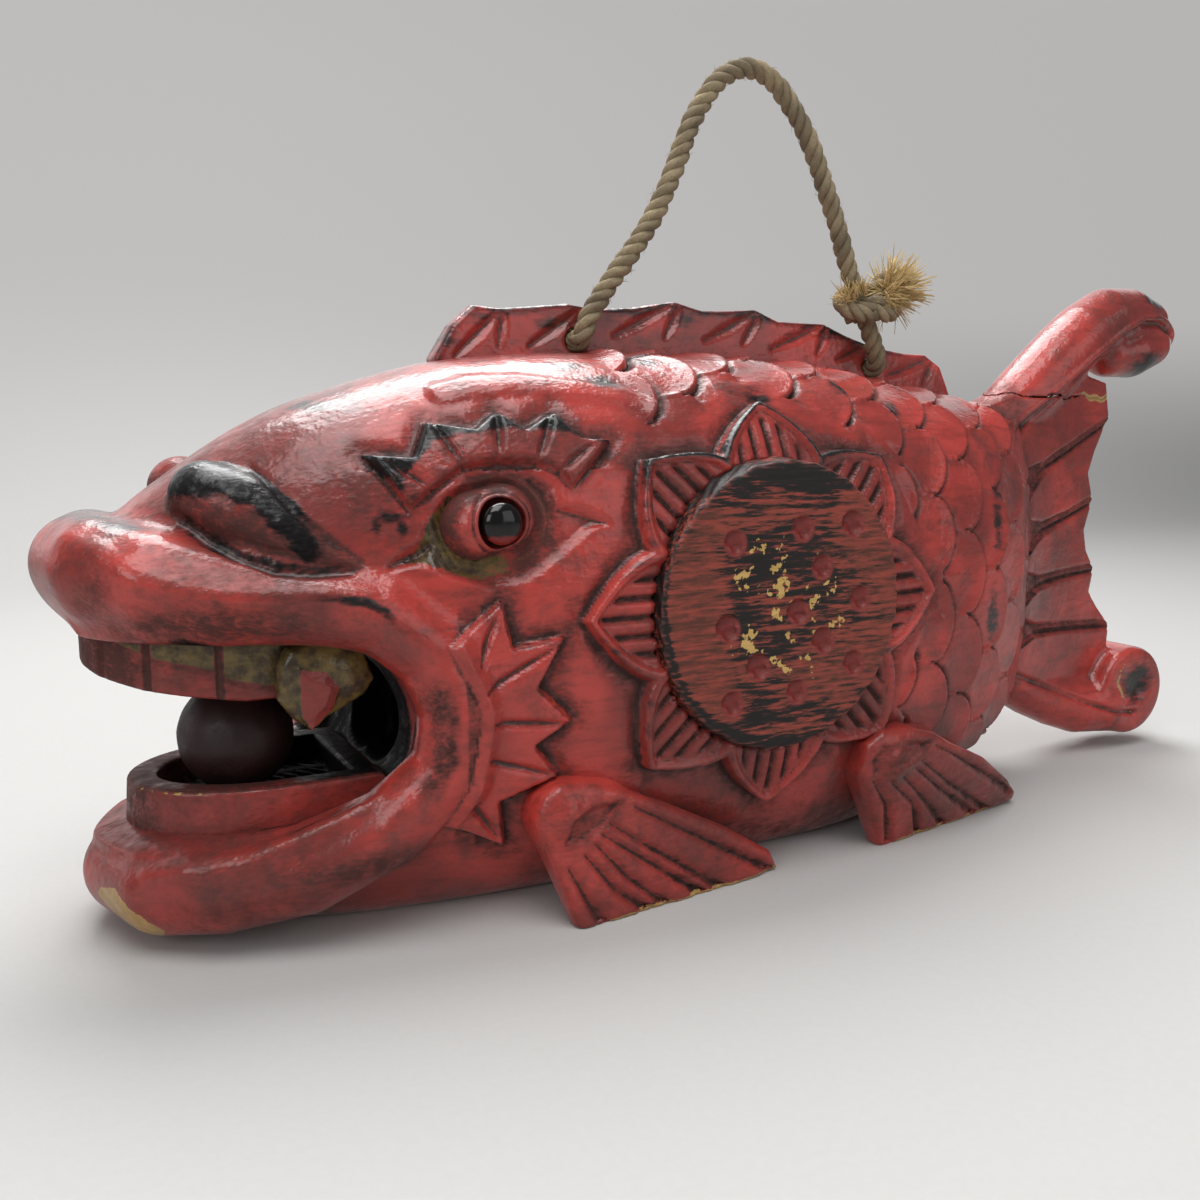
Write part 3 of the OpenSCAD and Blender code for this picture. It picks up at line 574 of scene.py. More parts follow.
def hemp(name, light, dark, grime):
    """Hemp yarn: dull straw-coloured fibres, grey-brown from handling, dark between the strands."""
    m, t, mm = new_material(name)
    shade = node(t, "Attribute", {}, attribute_name="shade")
    hair = node(t, "TexNoise", {"Vector": mm, "Scale": 1 / 0.9, "Detail": 4.0, "Roughness": 0.7})
    age = node(t, "TexNoise", {"Vector": mm, "Scale": 1 / 22, "Detail": 3.0})
    colour = node(t, "Mix", {0: shade, 6: dark, 7: light})
    pulled = node(t, "MapRange", {0: hair, 1: 0.42, 2: 0.62, 4: 0.4})
    colour = node(t, "Mix", {0: pulled, 6: colour, 7: dark})
    dirty = node(t, "MapRange", {0: age, 1: 0.42, 2: 0.68, 4: 0.5})
    colour = node(t, "Mix", {0: dirty, 6: colour, 7: grime})
    skin = node(t, "Bump", {"Height": hair, "Distance": 0.3 * MM})
    shader = node(t, "BsdfPrincipled", {"Base Color": colour, "Roughness": 0.82, "Normal": skin})
    node(t, "OutputMaterial", {"Surface": shader})
    return m


lacquer = red_lacquer()


# Camera, floor and light

def place_camera(scene):
    """The camera fitted to the photograph."""
    camera = bpy.data.cameras.new("view")
    camera.lens = 34.9
    camera.sensor_width = 36
    eye = bpy.data.objects.new("view", camera)
    eye.location = in_frame((-16.5, -568.5, 236.4))
    eye.rotation_euler = (math.radians(90 - 8.8), 0, math.radians(-27.8))
    scene.collection.objects.link(eye)
    scene.camera = eye


def floor_paint():
    """Matt pale paint: even grey on the wall, with a darker foot in what is mirrored."""
    m, t, mm = new_material("matt_pale_floor")
    speck = node(t, "TexNoise", {"Vector": mm, "Scale": 1 / 4, "Detail": 3.0})
    colour = node(t, "Mix", {0: speck, 6: "#C3C2C0", 7: "#BDBCBA"})
    shader = node(t, "BsdfPrincipled", {"Base Color": colour, "Roughness": 0.9})
    up = node(t, "SeparateXYZ", {0: mm}, 2)
    wall = node(t, "MapRange", {0: up, 1: 10.0, 2: 600.0, 4: 0.85})
    seen = node(t, "LightPath", {}, "Is Camera Ray")
    even = node(t, "Math", {0: wall, 1: seen}, operation="MULTIPLY")
    pale = node(t, "Emission", {"Color": "#BEBDBC"})
    shader = node(t, "MixShader", {0: even, 1: shader, 2: pale})
    mirrored = node(t, "LightPath", {}, "Is Glossy Ray")
    rise = node(t, "MapRange", {0: up, 1: 40.0, 2: 500.0})
    part = node(t, "Math", {0: rise, 1: 0.5, 2: 0.5})
    mirrored = node(t, "Math", {0: mirrored, 1: part}, operation="MULTIPLY")
    tone = node(t, "Mix", {0: rise, 6: "#6A6866", 7: "#F4F4F4"})
    tone = node(t, "Emission", {"Color": tone})
    shader = node(t, "MixShader", {0: mirrored, 1: shader, 2: tone})
    node(t, "OutputMaterial", {"Surface": shader})
    return m


def lay_floor(scene):
    """A floor that curves up into a wall behind the object."""
    mesh = bpy.data.meshes.new("floor")
    run = [(-6, 0), (1.2, 0)] + [(1.2 + 0.8 * math.sin(a), 0.8 - 0.8 * math.cos(a))
                                 for a in np.linspace(0, math.pi / 2, 14)[1:]] + [(2.0, 5)]
    points = [(x, y, z) for y, z in run for x in (-8, 8)]
    faces = [(2 * i, 2 * i + 1, 2 * i + 3, 2 * i + 2) for i in range(len(run) - 1)]
    mesh.from_pydata(points, [], faces)
    mesh.shade_smooth()
    mesh.materials.append(floor_paint())
    floor = bpy.data.objects.new("floor", mesh)
    scene.collection.objects.link(floor)


def hang_lamps(scene):
    """Four soft panels, each with its size, power, place and aim."""
    for name, size, power, place, aim in (
            ("ceiling_panel", 1.5, 27, (-0.5, -0.7, 2.1), (0, 0, 0.1)),
            ("back_lamp", 1.3, 40, (0.05, 0.75, 1.8), (0, 0, 0.15)),
            ("window", 1.2, 12, (-2.2, -1.4, 1.2), (-0.1, 0, 0.15)),
            ("fill", 1.6, 7, (1.2, -2.2, 1.0), (0.1, 0, 0.15))):
        lamp = bpy.data.lights.new(name, "AREA")
        lamp.size = size
        lamp.energy = power
        o = bpy.data.objects.new(name, lamp)
        o.location = place
        direction = np.array(aim) - np.array(place)
        yaw = math.atan2(direction[1], direction[0])
        pitch = math.atan2(-direction[2], math.hypot(direction[0], direction[1]))
        o.rotation_euler = (math.pi / 2 - pitch, 0, yaw - math.pi / 2)
        scene.collection.objects.link(o)


def light_room(scene):
    """Even daylight, dimmer where it is mirrored."""
    world = bpy.data.worlds.new("room")
    world.use_nodes = True
    t = world.node_tree
    t.nodes.clear()
    mirrored = node(t, "LightPath", {}, "Is Glossy Ray")
    level = node(t, "MapRange", {0: mirrored, 3: 0.42, 4: 0.2}, interpolation_type="LINEAR")
    sky = node(t, "Background", {"Color": "#D5D6D8", "Strength": level})
    node(t, "OutputWorld", {"Surface": sky})
    scene.world = world


scene = bpy.context.scene
scene.view_settings.view_transform = "Standard"
for prepare in (place_camera, lay_floor, hang_lamps, light_room):
    prepare(scene)


# Rope

ROPE_D = 11.0
ROPE_Y = -14.2
ROPE_ROUTE = [
    (265, 278), (270, 291), (282, 308), (295, 325), (309, 345), (321, 370), (332, 395), (347, 416),
    (365, 425), (383, 421), (399, 406), (412, 387), (423, 365), (434, 340), (444, 315), (453, 298),
    (461, 282), (466, 268)]
KNOT = np.array((451.0, ROPE_Y - 2, 303.0))
KNOT_D = 10.5                                   # rope pulled tight in the knot
LAY = 23.0                                      # length of one full turn of a strand
HAIR_REACH = 4.2                                # longest fibre that stands off the rope
SWING_AXIS = np.array((0.99876, 0, -0.04969))   # from hole mouth to hole mouth
FULL_SWING = math.radians(80)


def smooth_path(points, step):
    """Evenly spaced points on a smooth curve through the given ones, and how far along each lies."""
    p = np.array(points, float)
    p = np.vstack([2 * p[0] - p[1], p, 2 * p[-1] - p[-2]])
    k = np.linspace(0, 1, 16, endpoint=False)[:, None]
    spans = [0.5 * (2 * b + (c - a) * k + (2 * a - 5 * b + 4 * c - d) * k**2 + (3 * b - a - 3 * c + d) * k**3)
             for a, b, c, d in zip(p, p[1:], p[2:], p[3:])]
    fine = np.vstack(spans + [p[-2:-1]])
    run = np.concatenate([[0], np.cumsum(np.linalg.norm(np.diff(fine, axis=0), axis=1))])
    at = np.linspace(0, run[-1], max(4, round(run[-1] / step) + 1))
    return np.stack([np.interp(at, run, fine[:, k]) for k in range(3)], 1), at


def carried_frames(path):
    """Tangent and two cross directions that turn as little as possible along a path."""
    t = np.gradient(path, axis=0)
    t /= np.linalg.norm(t, axis=1)[:, None]
    u = np.zeros_like(t)
    u[0] = np.cross(t[0], (0, 1, 0) if abs(t[0][1]) < 0.9 else (1, 0, 0))
    u[0] /= np.linalg.norm(u[0])
    for i in range(1, len(t)):
        u[i] = u[i - 1] - t[i] * (u[i - 1] @ t[i])
        u[i] /= np.linalg.norm(u[i])
    return t, u, np.cross(t, u)


def ring_quads(rings, sides):
    """Quads between neighbouring rings of points."""
    i, j = (c.ravel() for c in np.meshgrid(np.arange(rings - 1), np.arange(sides), indexing="ij"))
    k = (j + 1) % sides
    return np.stack([i * sides + j, i * sides + k, (i + 1) * sides + k, (i + 1) * sides + j], 1)


def tube(centres, radii, sides, swell=1.0):
    """Points and faces of a closed tube; swell scales its radius round and along it."""
    _, u, v = carried_frames(centres)
    a = np.linspace(0, 2 * np.pi, sides, endpoint=False)
    r = (np.asarray(radii)[:, None] * np.ones(sides) * swell)[..., None]
    ring = centres[:, None] + r * (u[:, None] * np.cos(a)[:, None] + v[:, None] * np.sin(a)[:, None])
    n = len(centres)
    ends = [list(range(sides))[::-1], list(range((n - 1) * sides, n * sides))]
    return ring.reshape(-1, 3), ring_quads(n, sides).tolist() + ends


def laid_strands(path, d, turn=0.0):
    """Three strands laid round each other, each with the ridges of its yarns; also the rope's middle line."""
    core, at = smooth_path(path, 1.4)
    _, u, v = carried_frames(core)
    strand = d / 2 / 2.155
    ridge = np.linspace(0, 2 * np.pi, 14, endpoint=False)
    tubes = []
    for k in range(3):
        a = 2 * np.pi * (at / LAY + k / 3) + turn
        centre = core + 1.1 * strand * (u * np.cos(a)[:, None] + v * np.sin(a)[:, None])
        yarns = 1 + 0.08 * np.cos(4 * ridge[None, :] + (2 * np.pi * at / 15)[:, None])
        uneven = 1.07 * (1 + 0.05 * np.sin(at / 7 + 2 * k))
        tubes.append((*tube(centre, strand * uneven, 14, yarns), 0.55 + 0.15 * k))
    return tubes, core


def straw(root, way, length, bend, thick):
    """One stiff loose fibre that thins to its tip."""
    k = np.linspace(0, 1, 5)[:, None]
    path = root + way / np.linalg.norm(way) * length * k + bend * k**2
    return (*tube(path, thick * (1 - 0.65 * k[:, 0]), 4), float(rng.uniform(0.2, 1)))


def hairs(core, d, count, reach):
    """Short fibres that stand off a rope."""
    t, u, v = carried_frames(core)
    tubes = []
    for i, a in zip(rng.integers(2, len(core) - 2, count), rng.uniform(0, 2 * np.pi, count)):
        out = u[i] * math.cos(a) + v[i] * math.sin(a)
        way = t[i] * rng.choice((-1, 1)) * rng.uniform(0.6, 1) + out * rng.uniform(0.2, 0.6)
        length, bend = rng.uniform(2, reach), out * rng.uniform(-0.6, 0.7)
        tubes.append(straw(core[i] + out * d * 0.46, way, length, bend, 0.13))
    return tubes


def tuft(root, way, count, spread, length, thick):
    """A frayed rope end: fibres that fan out from one place."""
    way = np.array(way, float) / np.linalg.norm(way)
    return [straw(root + rng.normal(0, 1.8, 3), way + spread * rng.normal(0, 1, 3),
                  length * rng.uniform(0.5, 1), rng.normal(0, 1.6, 3), thick * rng.uniform(0.6, 1.3))
            for _ in range(count)]


def clear_when_swung(points):
    """Whether loose fibres stay off the flank when the loop lies over at its full swing."""
    pin = np.array((ROPE_ROUTE[0][0], ROPE_Y, ROPE_ROUTE[0][1]))
    q = points - pin
    turned = q * math.cos(FULL_SWING) + np.cross(SWING_AXIS, q) * math.sin(FULL_SWING)
    turned += np.outer(q @ SWING_AXIS, SWING_AXIS) * (1 - math.cos(FULL_SWING)) + pin
    s, y, z = turned.T
    middle, half = (back_z(s) + keel_z(s)) / 2, (back_z(s) - keel_z(s)) / 2
    across, up = np.abs(y) / side_y(s), np.abs(z - middle) / half
    return np.min(across**SQUARENESS + up**SQUARENESS) > 1.15


def hemp_piece(name, tubes, material):
    """One mesh of many tubes, each with its own shade of straw."""
    points = np.vstack([p for p, _, _ in tubes])
    first = np.cumsum([0] + [len(p) for p, _, _ in tubes])
    faces = [[i + start for i in f] for (_, walls, _), start in zip(tubes, first) for f in walls]
    shade = np.concatenate([np.full(len(p), value) for p, _, value in tubes])
    return add_mesh(name, in_frame(points), faces, {"shade": shade}, material)


def tie_knot(laid):
    """The knot on the near side: turns round the rope, a bight and a tail."""
    axis = np.array((9.0, 0, -17.0)) / math.hypot(9, 17)
    side = np.array((17.0, 0, 9.0)) / math.hypot(9, 17)
    near = np.array((0.0, -1, 0))
    wrap = [KNOT + axis * (4 - 9 * k) + (8.6 + 1.5 * k) * (side * math.cos(a) + near * math.sin(a))
            for k, a in ((i / 24, 2 * math.pi * (0.62 + 1.42 * i / 24)) for i in range(25))]
    end = wrap[-1]
    turns, _ = laid_strands(wrap + [end + (4, 1, 4), end + (9, -1, 9)], KNOT_D)
    bight = KNOT + [(6, 3, -7), (-4, -8, -6), (-14, -7, -4), (-18, -2, 1), (-12, 4, 5)]
    bight, _ = laid_strands(bight, KNOT_D, 1.0)
    tail, _ = laid_strands(KNOT + [(-3, -9, -3), (8, -10, -5), (18, -5, -3), (20, 1, 3)], KNOT_D, 2.0)
    knot = hemp_piece("rope_knot_turns", turns + bight + tail, laid)
    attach(knot, "rope")
    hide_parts("rope_knot")
    return knot


def fray_ends(frayed):
    """The brushes of loose fibres that stand out of the knot."""
    brush = []
    for place, way, count, spread, length, thick in (
            ((13, -5, 8), (0.85, -0.5, 0.3), 620, 0.75, 26, 0.55),
            ((7, -13, 3), (0.4, -0.6, -0.6), 90, 0.5, 13, 0.45),
            ((-15, -6, 3), (-0.9, -0.3, 0.25), 150, 0.4, 12, 0.38),
            ((-7, -7, 6), (-0.5, -0.4, 0.8), 60, 0.35, 10, 0.34)):
        brush += tuft(KNOT + place, way, count, spread, length, thick)
    fray = hemp_piece("frayed_rope_ends", [b for b in brush if clear_when_swung(b[0])], frayed)
    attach(fray, "rope")
    return fray


def tuck_rope(first, last, laid):
    """The run through both holes and along the far side of the fin."""
    run = [first + (0, y, 0) for y in (3, 12, 22)] + [first + (3, 27.4, 0.5)]
    run += [first + (last - first) * k + (0, 28.4, 3) for k in (0.1, 0.25, 0.4, 0.5, 0.6, 0.75, 0.9)]
    run += [last + (-3, 27.4, 0.5)] + [last + (0, y, 0) for y in (22, 12, 3)]
    strands, core = laid_strands(run, ROPE_D)
    tuck = hemp_piece("rope_behind_fin", strands + hairs(core, ROPE_D, 70, HAIR_REACH), laid)
    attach(tuck, "gong")
    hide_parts("rope_tuck")


def hang_rope():
    """The carrying loop through the dorsal fin, its knot with frayed ends, and the run behind the fin."""
    laid = hemp("laid_hemp", "#A39272", "#5A4E3B", "#4C4438")
    frayed = hemp("frayed_hemp", "#E6CC96", "#A48752", "#B89A62")
    route = [np.array((s, ROPE_Y, z)) for s, z in ROPE_ROUTE]
    first, last = route[0], route[-1]
    path = [first + (0, 9, -1), first + (0, 4.5, -0.5), first + (1, 0.4, 3)] + route[1:-1]
    path += [last + (-1, 0.4, 3.5), last + (0, 4.5, -0.5), last + (0, 9, -1)]
    strands, core = laid_strands(path, ROPE_D)
    loop = hemp_piece("hanging_rope", strands + hairs(core, ROPE_D, 280, HAIR_REACH), laid)
    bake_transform(loop)
    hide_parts("rope_loop")
    knot, fray = tie_knot(laid), fray_ends(frayed)
    tuck_rope(first, last, laid)


hang_rope()


# Trunk

LIP = [  # s, share of the half width, z, radius: middle of the upper lip to the chin
    (20, 0, 173, 22.2), (25, 0.24, 173, 22.2), (43, 0.44, 169, 20.9), (70, 0.56, 162, 19),
    (105, 0.66, 157, 17), (135, 0.74, 151, 16), (158, 0.80, 132, 15.6), (167, 0.84, 106, 15.2),
    (161, 0.82, 78, 16.3), (136, 0.75, 53, 18.2), (100, 0.64, 36, 20.5), (66, 0.50, 30, 21.8),
    (44, 0.32, 28, 22.8), (34, 0, 28, 22.8)]
THROAT = [(120, -16, 94, 26), (222, -6, 94, 26)]
NOSTRIL = [(69, -35, 203, 16), (82, -45, 197, 16.5), (95, -55, 189, 13), (109, -64.5, 181, 8),
           (125, -72.5, 174, 2)]
BROW = [(132, 221), (153, 220), (161, 235), (182, 232), (193, 240), (205, 232), (220, 240),
        (231, 228), (247, 227), (235, 214), (223, 204), (217, 212), (206, 216), (190, 217),
        (174, 214), (159, 204), (148, 196)]
BROW_CUTS = [((133, 220), (148, 196)), ((142, 217), (159, 205)), ((164, 233), (174, 214)),
             ((193, 238), (190, 217)), ((219, 238), (207, 216)), ((234, 223), (217, 212)),
             ((246, 226), (223, 205))]
SOCKET = [(138, 173), (148, 180), (156, 196), (174, 213), (190, 216), (206, 215), (215, 208),
          (217, 198), (237, 189), (218, 174), (200, 162), (183, 160), (166, 165), (154, 171)]
EYE_CORNERS = [((139, 173), (157, 182)), ((216, 196), (238, 189))]
CHEEK = [(159, 137), (186, 156), (191, 135), (216, 138), (203, 115), (220, 98), (202, 87),
         (214, 71), (186, 61), (191, 36), (158, 53), (167, 73), (172, 99), (171, 111)]
CHEEK_CUTS = [((172, 126), (184, 151)), ((174, 114), (211, 134)), ((177, 101), (215, 97)),
              ((175, 84), (209, 73)), ((170, 65), (186, 43)), ((160, 52), (187, 38))]
GILL_LINE = [(172, 248), (188, 252), (212, 253), (240, 250), (262, 247), (272, 240), (276, 231), (277, 222)]
SCALE_SOOT = [  # s, z and half sizes of the dark rubbed patches on the head and scales
    (140, 195, 8, 4), (134, 190, 3, 6), (145, 189, 3.5, 5), (254, 255, 16, 6), (236, 262, 24, 5),
    (289, 266, 10, 5), (341, 248, 9, 6), (401, 253, 9, 6), (437, 243, 9, 6), (514, 178, 7, 25),
    (510, 122, 8, 22), (118, 243, 22, 5)]


def carve_trunk(pitch):
    """The left half log: body, rolled lips, nostrils, mouth and plate seat."""
    rows = math.ceil(112 / pitch)
    block = Block((-3, -(rows + 0.5) * pitch, -3), (TRUNK_LEN + 3, 0.5 * pitch, 279), pitch)
    cut, s, y, z = block.everywhere()
    top, low, wide = back_z(s), keel_z(s), side_y(s)
    middle, half = (top + low) / 2, (top - low) / 2
    u, v = np.abs(y) / wide, np.abs(z - middle) / half
    g = (u**SQUARENESS + v**SQUARENESS) ** (1 / SQUARENESS) + 1e-6
    steep = np.hypot((u / g) ** (SQUARENESS - 1) / wide, (v / g) ** (SQUARENESS - 1) / half)
    d = (g - 1) / np.maximum(steep, 1 / 140)
    d = np.maximum(np.maximum(d, 0.023 * TRUNK_LEN - s), s - TRUNK_LEN)
    block.d[:] = d.astype(np.float32)
    roof, floor, back = 142.0, 46.0, 152.0
    r = (roof - floor) / 2
    mouth = np.hypot(np.maximum(s - (back - r), 0), z - (floor + r)) - r
    block.take(cut, mouth, 5)
    block.rod([(a, -b * HALF_W, c, e) for a, b, c, e in LIP], 8)
    block.rod([(23, 0, 164, 19), (28, -22, 163, 18.5), (46, -41, 159, 16), (72, -53, 154, 12.5)], 6)
    block.rod(NOSTRIL, 3)
    block.rod(THROAT, 3, remove=True)
    # Crease under the nostril lobe and the cut behind it
    block.rod([(56, -42, 195, 1.5), (66, -52, 185, 3), (77, -61, 178, 3), (90, -69, 173, 3),
               (106, -73, 171, 2.5), (122, -75, 171.5, 1.2)], 4, remove=True)
    block.rod([(87, -41, 216, 0.6), (93, -53, 210, 1.8), (100, -63, 198, 2), (112, -69, 186, 2),
               (127, -75, 174.5, 1)], 2, remove=True)
    # Crests of the upper and the lower lip
    block.rod([(13, -32, 185, 3), (24, -47, 180.5, 4), (38, -60.5, 170, 4), (60, -69, 163.5, 4),
               (83, -75, 162, 4), (110, -79.5, 162, 3.5), (126, -82, 159, 2)], 6)
    block.rod([(36, -47, 39, 3), (50, -58, 42, 4.5), (76, -70, 46.5, 4.5), (98, -75, 54.5, 4),
               (115, -78, 61.5, 3), (128, -80, 68, 1.5)], 6)
    # Eye hollow, and the round seat of the striking plate
    block.rod([(166, -99, 184, 15), (196, -103, 190, 15)], 6, remove=True)
    seat = np.maximum(np.hypot(s - PLATE_S, z - PLATE_Z) - PLATE_R - 0.6, y - PLATE_BACK)
    block.take(cut, seat)
    block.take(cut, z, 3)
    return block.skin()


def petal_relief(s, z):
    """Eight pointed petals round the plate, each with a raised rim, a sunk field and gouged flutes.

    Returns their relief, the black of their rims and upper tips, their painted shadow with darker sunk fields
    and flutes, and where the wood beyond them is free for scales."""
    x, h = s - PLATE_S, z - PLATE_Z
    r, turn = np.hypot(x, h), np.arctan2(h, x)
    sector = np.pi / 4
    a = (turn + sector / 2) % sector - sector / 2
    along, side = r * np.cos(a), r * np.sin(a)
    root = 66.0
    tip = 109 - 9 * smoothstep(0.3, 1, np.sin(turn)) - 4 * smoothstep(0.3, 1, -np.sin(turn))
    k = np.clip((tip - along) / (tip - root), 0, 1)
    half = 33 * (2 * k - k**2)
    inside = np.minimum((half - np.abs(side)) * 0.78, tip - along)
    body = smoothstep(-0.8, 2.2, inside)
    field = smoothstep(4.0, 6.2, inside)
    flute = np.abs((side / 9 + 0.5) % 1 - 0.5) * 9
    flute = smoothstep(2.6, 0.7, flute) * smoothstep(6.5, 9.5, inside)
    rim = smoothstep(3.4, 1.2, np.abs(inside - 1.5))
    high = smoothstep(196, 214, z)
    near = (r > PLATE_R - 2) & (r < 130)
    relief = 6.0 * body - 2.6 * field - 2.4 * flute
    relief -= 1.8 * smoothstep(-11, -1, inside) * smoothstep(0.5, -1.5, inside)
    black = most(rim * (0.22 + 0.46 * high), 0.8 * smoothstep(-1, 2, inside) * smoothstep(94, 104, r) * high)
    # Painted shadow round each petal, and darker sunk fields and flutes
    stain = most(0.62 * smoothstep(-18, -2, inside) * smoothstep(1, -1, inside), 0.3 * field + 0.5 * flute)
    free = smoothstep(-12, -15, inside) * smoothstep(104, 110, r)
    return near * relief, near * black, near * stain, free


def scale_edges(s, q):
    """Overlapping fish scales: distance to the free edge ahead and behind, and place across each scale."""
    pitch, reach, tall = 31.0, 21.0, 25.0
    ahead, behind, middle = np.full((3, len(s)), pitch * 1.4)
    first = np.floor(s / pitch)
    for i in range(-3, 3):
        row = first + i
        shift = (row % 2) * tall
        centre = np.round((q - shift) / (2 * tall)) * 2 * tall + shift
        for j in (-1, 0, 1):
            off = (q - centre - 2 * tall * j) / (tall * 1.06)
            e = row * pitch + reach * np.sqrt(np.clip(1 - off**2, 0, None)) - reach - s
            on = np.abs(off) <= 1
            middle = np.where(on & (e >= 0) & (e < ahead), off, middle)
            ahead = np.where(on & (e >= 0), np.minimum(ahead, e), ahead)
            behind = np.where(on & (e < 0), np.minimum(behind, -e), behind)
    return ahead, behind, np.clip(middle, -1, 1)


def scale_relief(s, y, z, free):
    """Scales on the back and the rear, where the wood is free: relief, and the painted shadow behind each
    free edge, black close to it and dark brown further back.
    """
    girth = (z - 150) + 0.85 * (side_y(s) - np.abs(y)) * np.sign(z - 120)
    ahead, behind, middle = scale_edges(s, girth)
    upper = smoothstep(262, 276, s) * smoothstep(206, 214, z)
    rear = smoothstep(398, 406, s) * smoothstep(26, 36, z)
    scales = most(upper, rear) * free * smoothstep(TRUNK_LEN - 8, TRUNK_LEN - 20, s)
    rise = 4.8 * np.exp(-ahead / 14) * smoothstep(-1.0, 1.7, ahead) + 1.2 * (1 - middle**2)
    relief = scales * (rise - 2.4 - 1.8 * smoothstep(7, 0.5, behind))
    # Painted shadow in the groove behind each free edge: black close to it, dark brown further back
    return relief, 0.5 * scales * smoothstep(3.5, 0.5, behind), scales * smoothstep(9, 1, behind)


def eye_hollow(s, z):
    """The hollow round the eye, gouged and gilded ahead of it and darkened with painted shade behind it, with
    a thin lid.

    Returns its relief, gilding and painted shade."""
    socket = outline_depth(s, z, SOCKET)
    hollow = smoothstep(-1, 4, socket)
    lid = line_distance(s, z, *EYE_LINE)[0] - 16
    ring = np.exp(-((lid - 3.2) / 1.5) ** 2)
    ahead = smoothstep(EYE_S - 12, EYE_S - 18, s) * smoothstep(166, 174, z)
    under = smoothstep(12, 6, lid) * smoothstep(EYE_Z + 2, EYE_Z - 9, z)
    under *= smoothstep(EYE_S + 20, EYE_S + 4, s)
    relief = 1.3 * ring * smoothstep(178, 188, z) - 4.0 * smoothstep(-1, 7, socket)
    relief -= hollow * ahead * 0.7 * np.sin(s * 1.9 + z * 0.8) + v_cuts(s, z, EYE_CORNERS, 5.0, 4.0)
    gold = hollow * most(0.72 * ahead, 0.66 * under, 0.5 * ring)
    # Painted shade over the hollow, deepest next to the eye and lighter ahead of it
    stain = hollow * (0.3 + 0.5 * smoothstep(18, 3, lid)) * (1 - 0.6 * ahead)
    return relief, gold, stain


def brow_and_cheek(s, z):
    """Brow and cheek frill, each raised, notched and set off by a gully: relief, black, and darkening round
    them.
    """
    brow, cheek = outline_depth(s, z, BROW), outline_depth(s, z, CHEEK)
    relief = 2.2 * along_line(s, z, GILL_LINE, 7) * smoothstep(226, 244, z)
    for form, rise, soft, cuts, width, sunk, reach, beyond in (
            (brow, 5.5, 3.0, BROW_CUTS, 2.6, 1.6, -9, z > 214),
            (cheek, 5.0, 2.6, CHEEK_CUTS, 3.0, 1.5, -8, s > 176)):
        relief += rise * smoothstep(-0.5, soft, form)
        relief -= v_cuts(s, z, cuts, width, 3.2) * smoothstep(-2, 2, form)
        relief -= sunk * smoothstep(reach, -1, form) * smoothstep(0.5, -1, form) * beyond
    crest = np.interp(s, (132, 150, 165, 190, 215, 247), (209, 212, 226, 230, 230, 224))
    black = most(
        0.95 * smoothstep(-1.5, 0.5, brow) * smoothstep(-4, 3, z - crest),
        0.6 * smoothstep(-1, 1, brow) * spot(s, z, 146, 208, 5, 8),
        0.42 * smoothstep(3.5, 0.5, np.abs(cheek - 0.5)) * (s > 178))
    # Darker round the frills, and over the brow
    around = most(smoothstep(-18, -1, cheek) * (s > 166), smoothstep(-13, -1, brow) * smoothstep(208, 220, z))
    stain = most(0.6 * around * (most(cheek, brow) < 0.5), 0.42 * smoothstep(-1, 1, brow))
    return relief, black, stain


def head_wear_and_shade(s, y, z, n):
    """Marks of hands on the snout, lip and chin, with smoky patches, painted black shade inside the mouth and
    the throat, and a painted grey reflection on top of the lower lip: black, and darkening with painted
    shade.
    """
    lip_soot = along_line(s, z, [(92, 162), (108, 161.5), (125, 159), (133, 154), (141, 145)], 4) * (y < -60)
    lip_soot *= smoothstep(90, 126, s) * smoothstep(143, 132, s)
    corner = along_line(s, z, [(150, 132), (157, 108), (156, 87), (144, 62)], 9) * (y < -80)
    corner *= smoothstep(136, 112, z) * smoothstep(58, 80, z)
    front = line_distance(s, y, (20, 0), (33, -40))[0] + 1.6 * np.abs(z - 195)
    # Painted black shade on the faces inside the mouth and in the throat
    inward = most(smoothstep(0.0, 0.45, n[:, 1]), smoothstep(66, 54, -y))
    mouth = smoothstep(8, -2, np.hypot(np.maximum(s - 104, 0), z - 94) - 48) * smoothstep(30, 60, s)
    mouth = most(mouth * inward * smoothstep(50, 58, z), smoothstep(4, 1, rod_distance(s, y, z, THROAT)))
    stain = most(
        mouth, 0.7 * corner,
        0.78 * spot(s, z, 66, 150, 52, 12) * (y < -40),
        0.68 * spot(s, z, 118, 40, 52, 11) * (y < -40),
        0.5 * spot(s, z, 20, 165, 10, 26),
        0.55 * spot(s, z, 138, 203, 34, 26) * (y < -25),
        0.42 * smoothstep(150, 90, s) * smoothstep(20, 60, s),
        # Painted grey reflection on the upward faces of the lower lip
        0.45 * smoothstep(0.35, 0.8, n[:, 2]) * smoothstep(80, 40, s) * (z < 60))
    return most(mouth, 0.7 * lip_soot, 0.3 * corner, 0.66 * smoothstep(34, 4, front)), stain


def nostril_wear_and_shade(s, y, z):
    """The left nostril, rubbed black along its crest, with a painted black shadow in the crease below and
    darker low on the lobe: black and darkening.
    """
    lobe = smoothstep(3.5, 0.5, rod_distance(s, y, z, NOSTRIL))
    crest = np.interp(s, (60, 71, 84, 93, 102, 110), (216, 217, 211, 200, 188, 178))
    crest = smoothstep(-19, -6, z - crest) * smoothstep(116, 100, s)
    # Painted black shadow along the crease under the lobe
    crease = [(58, -43, 193, 1), (69, -53, 183, 1), (80, -62, 177, 1), (95, -70, 173, 1), (120, -75, 171, 0)]
    under = smoothstep(5, 1, rod_distance(s, y, z, crease))
    return most(lobe * crest, 0.7 * under), 0.72 * lobe * smoothstep(222, 205, z)


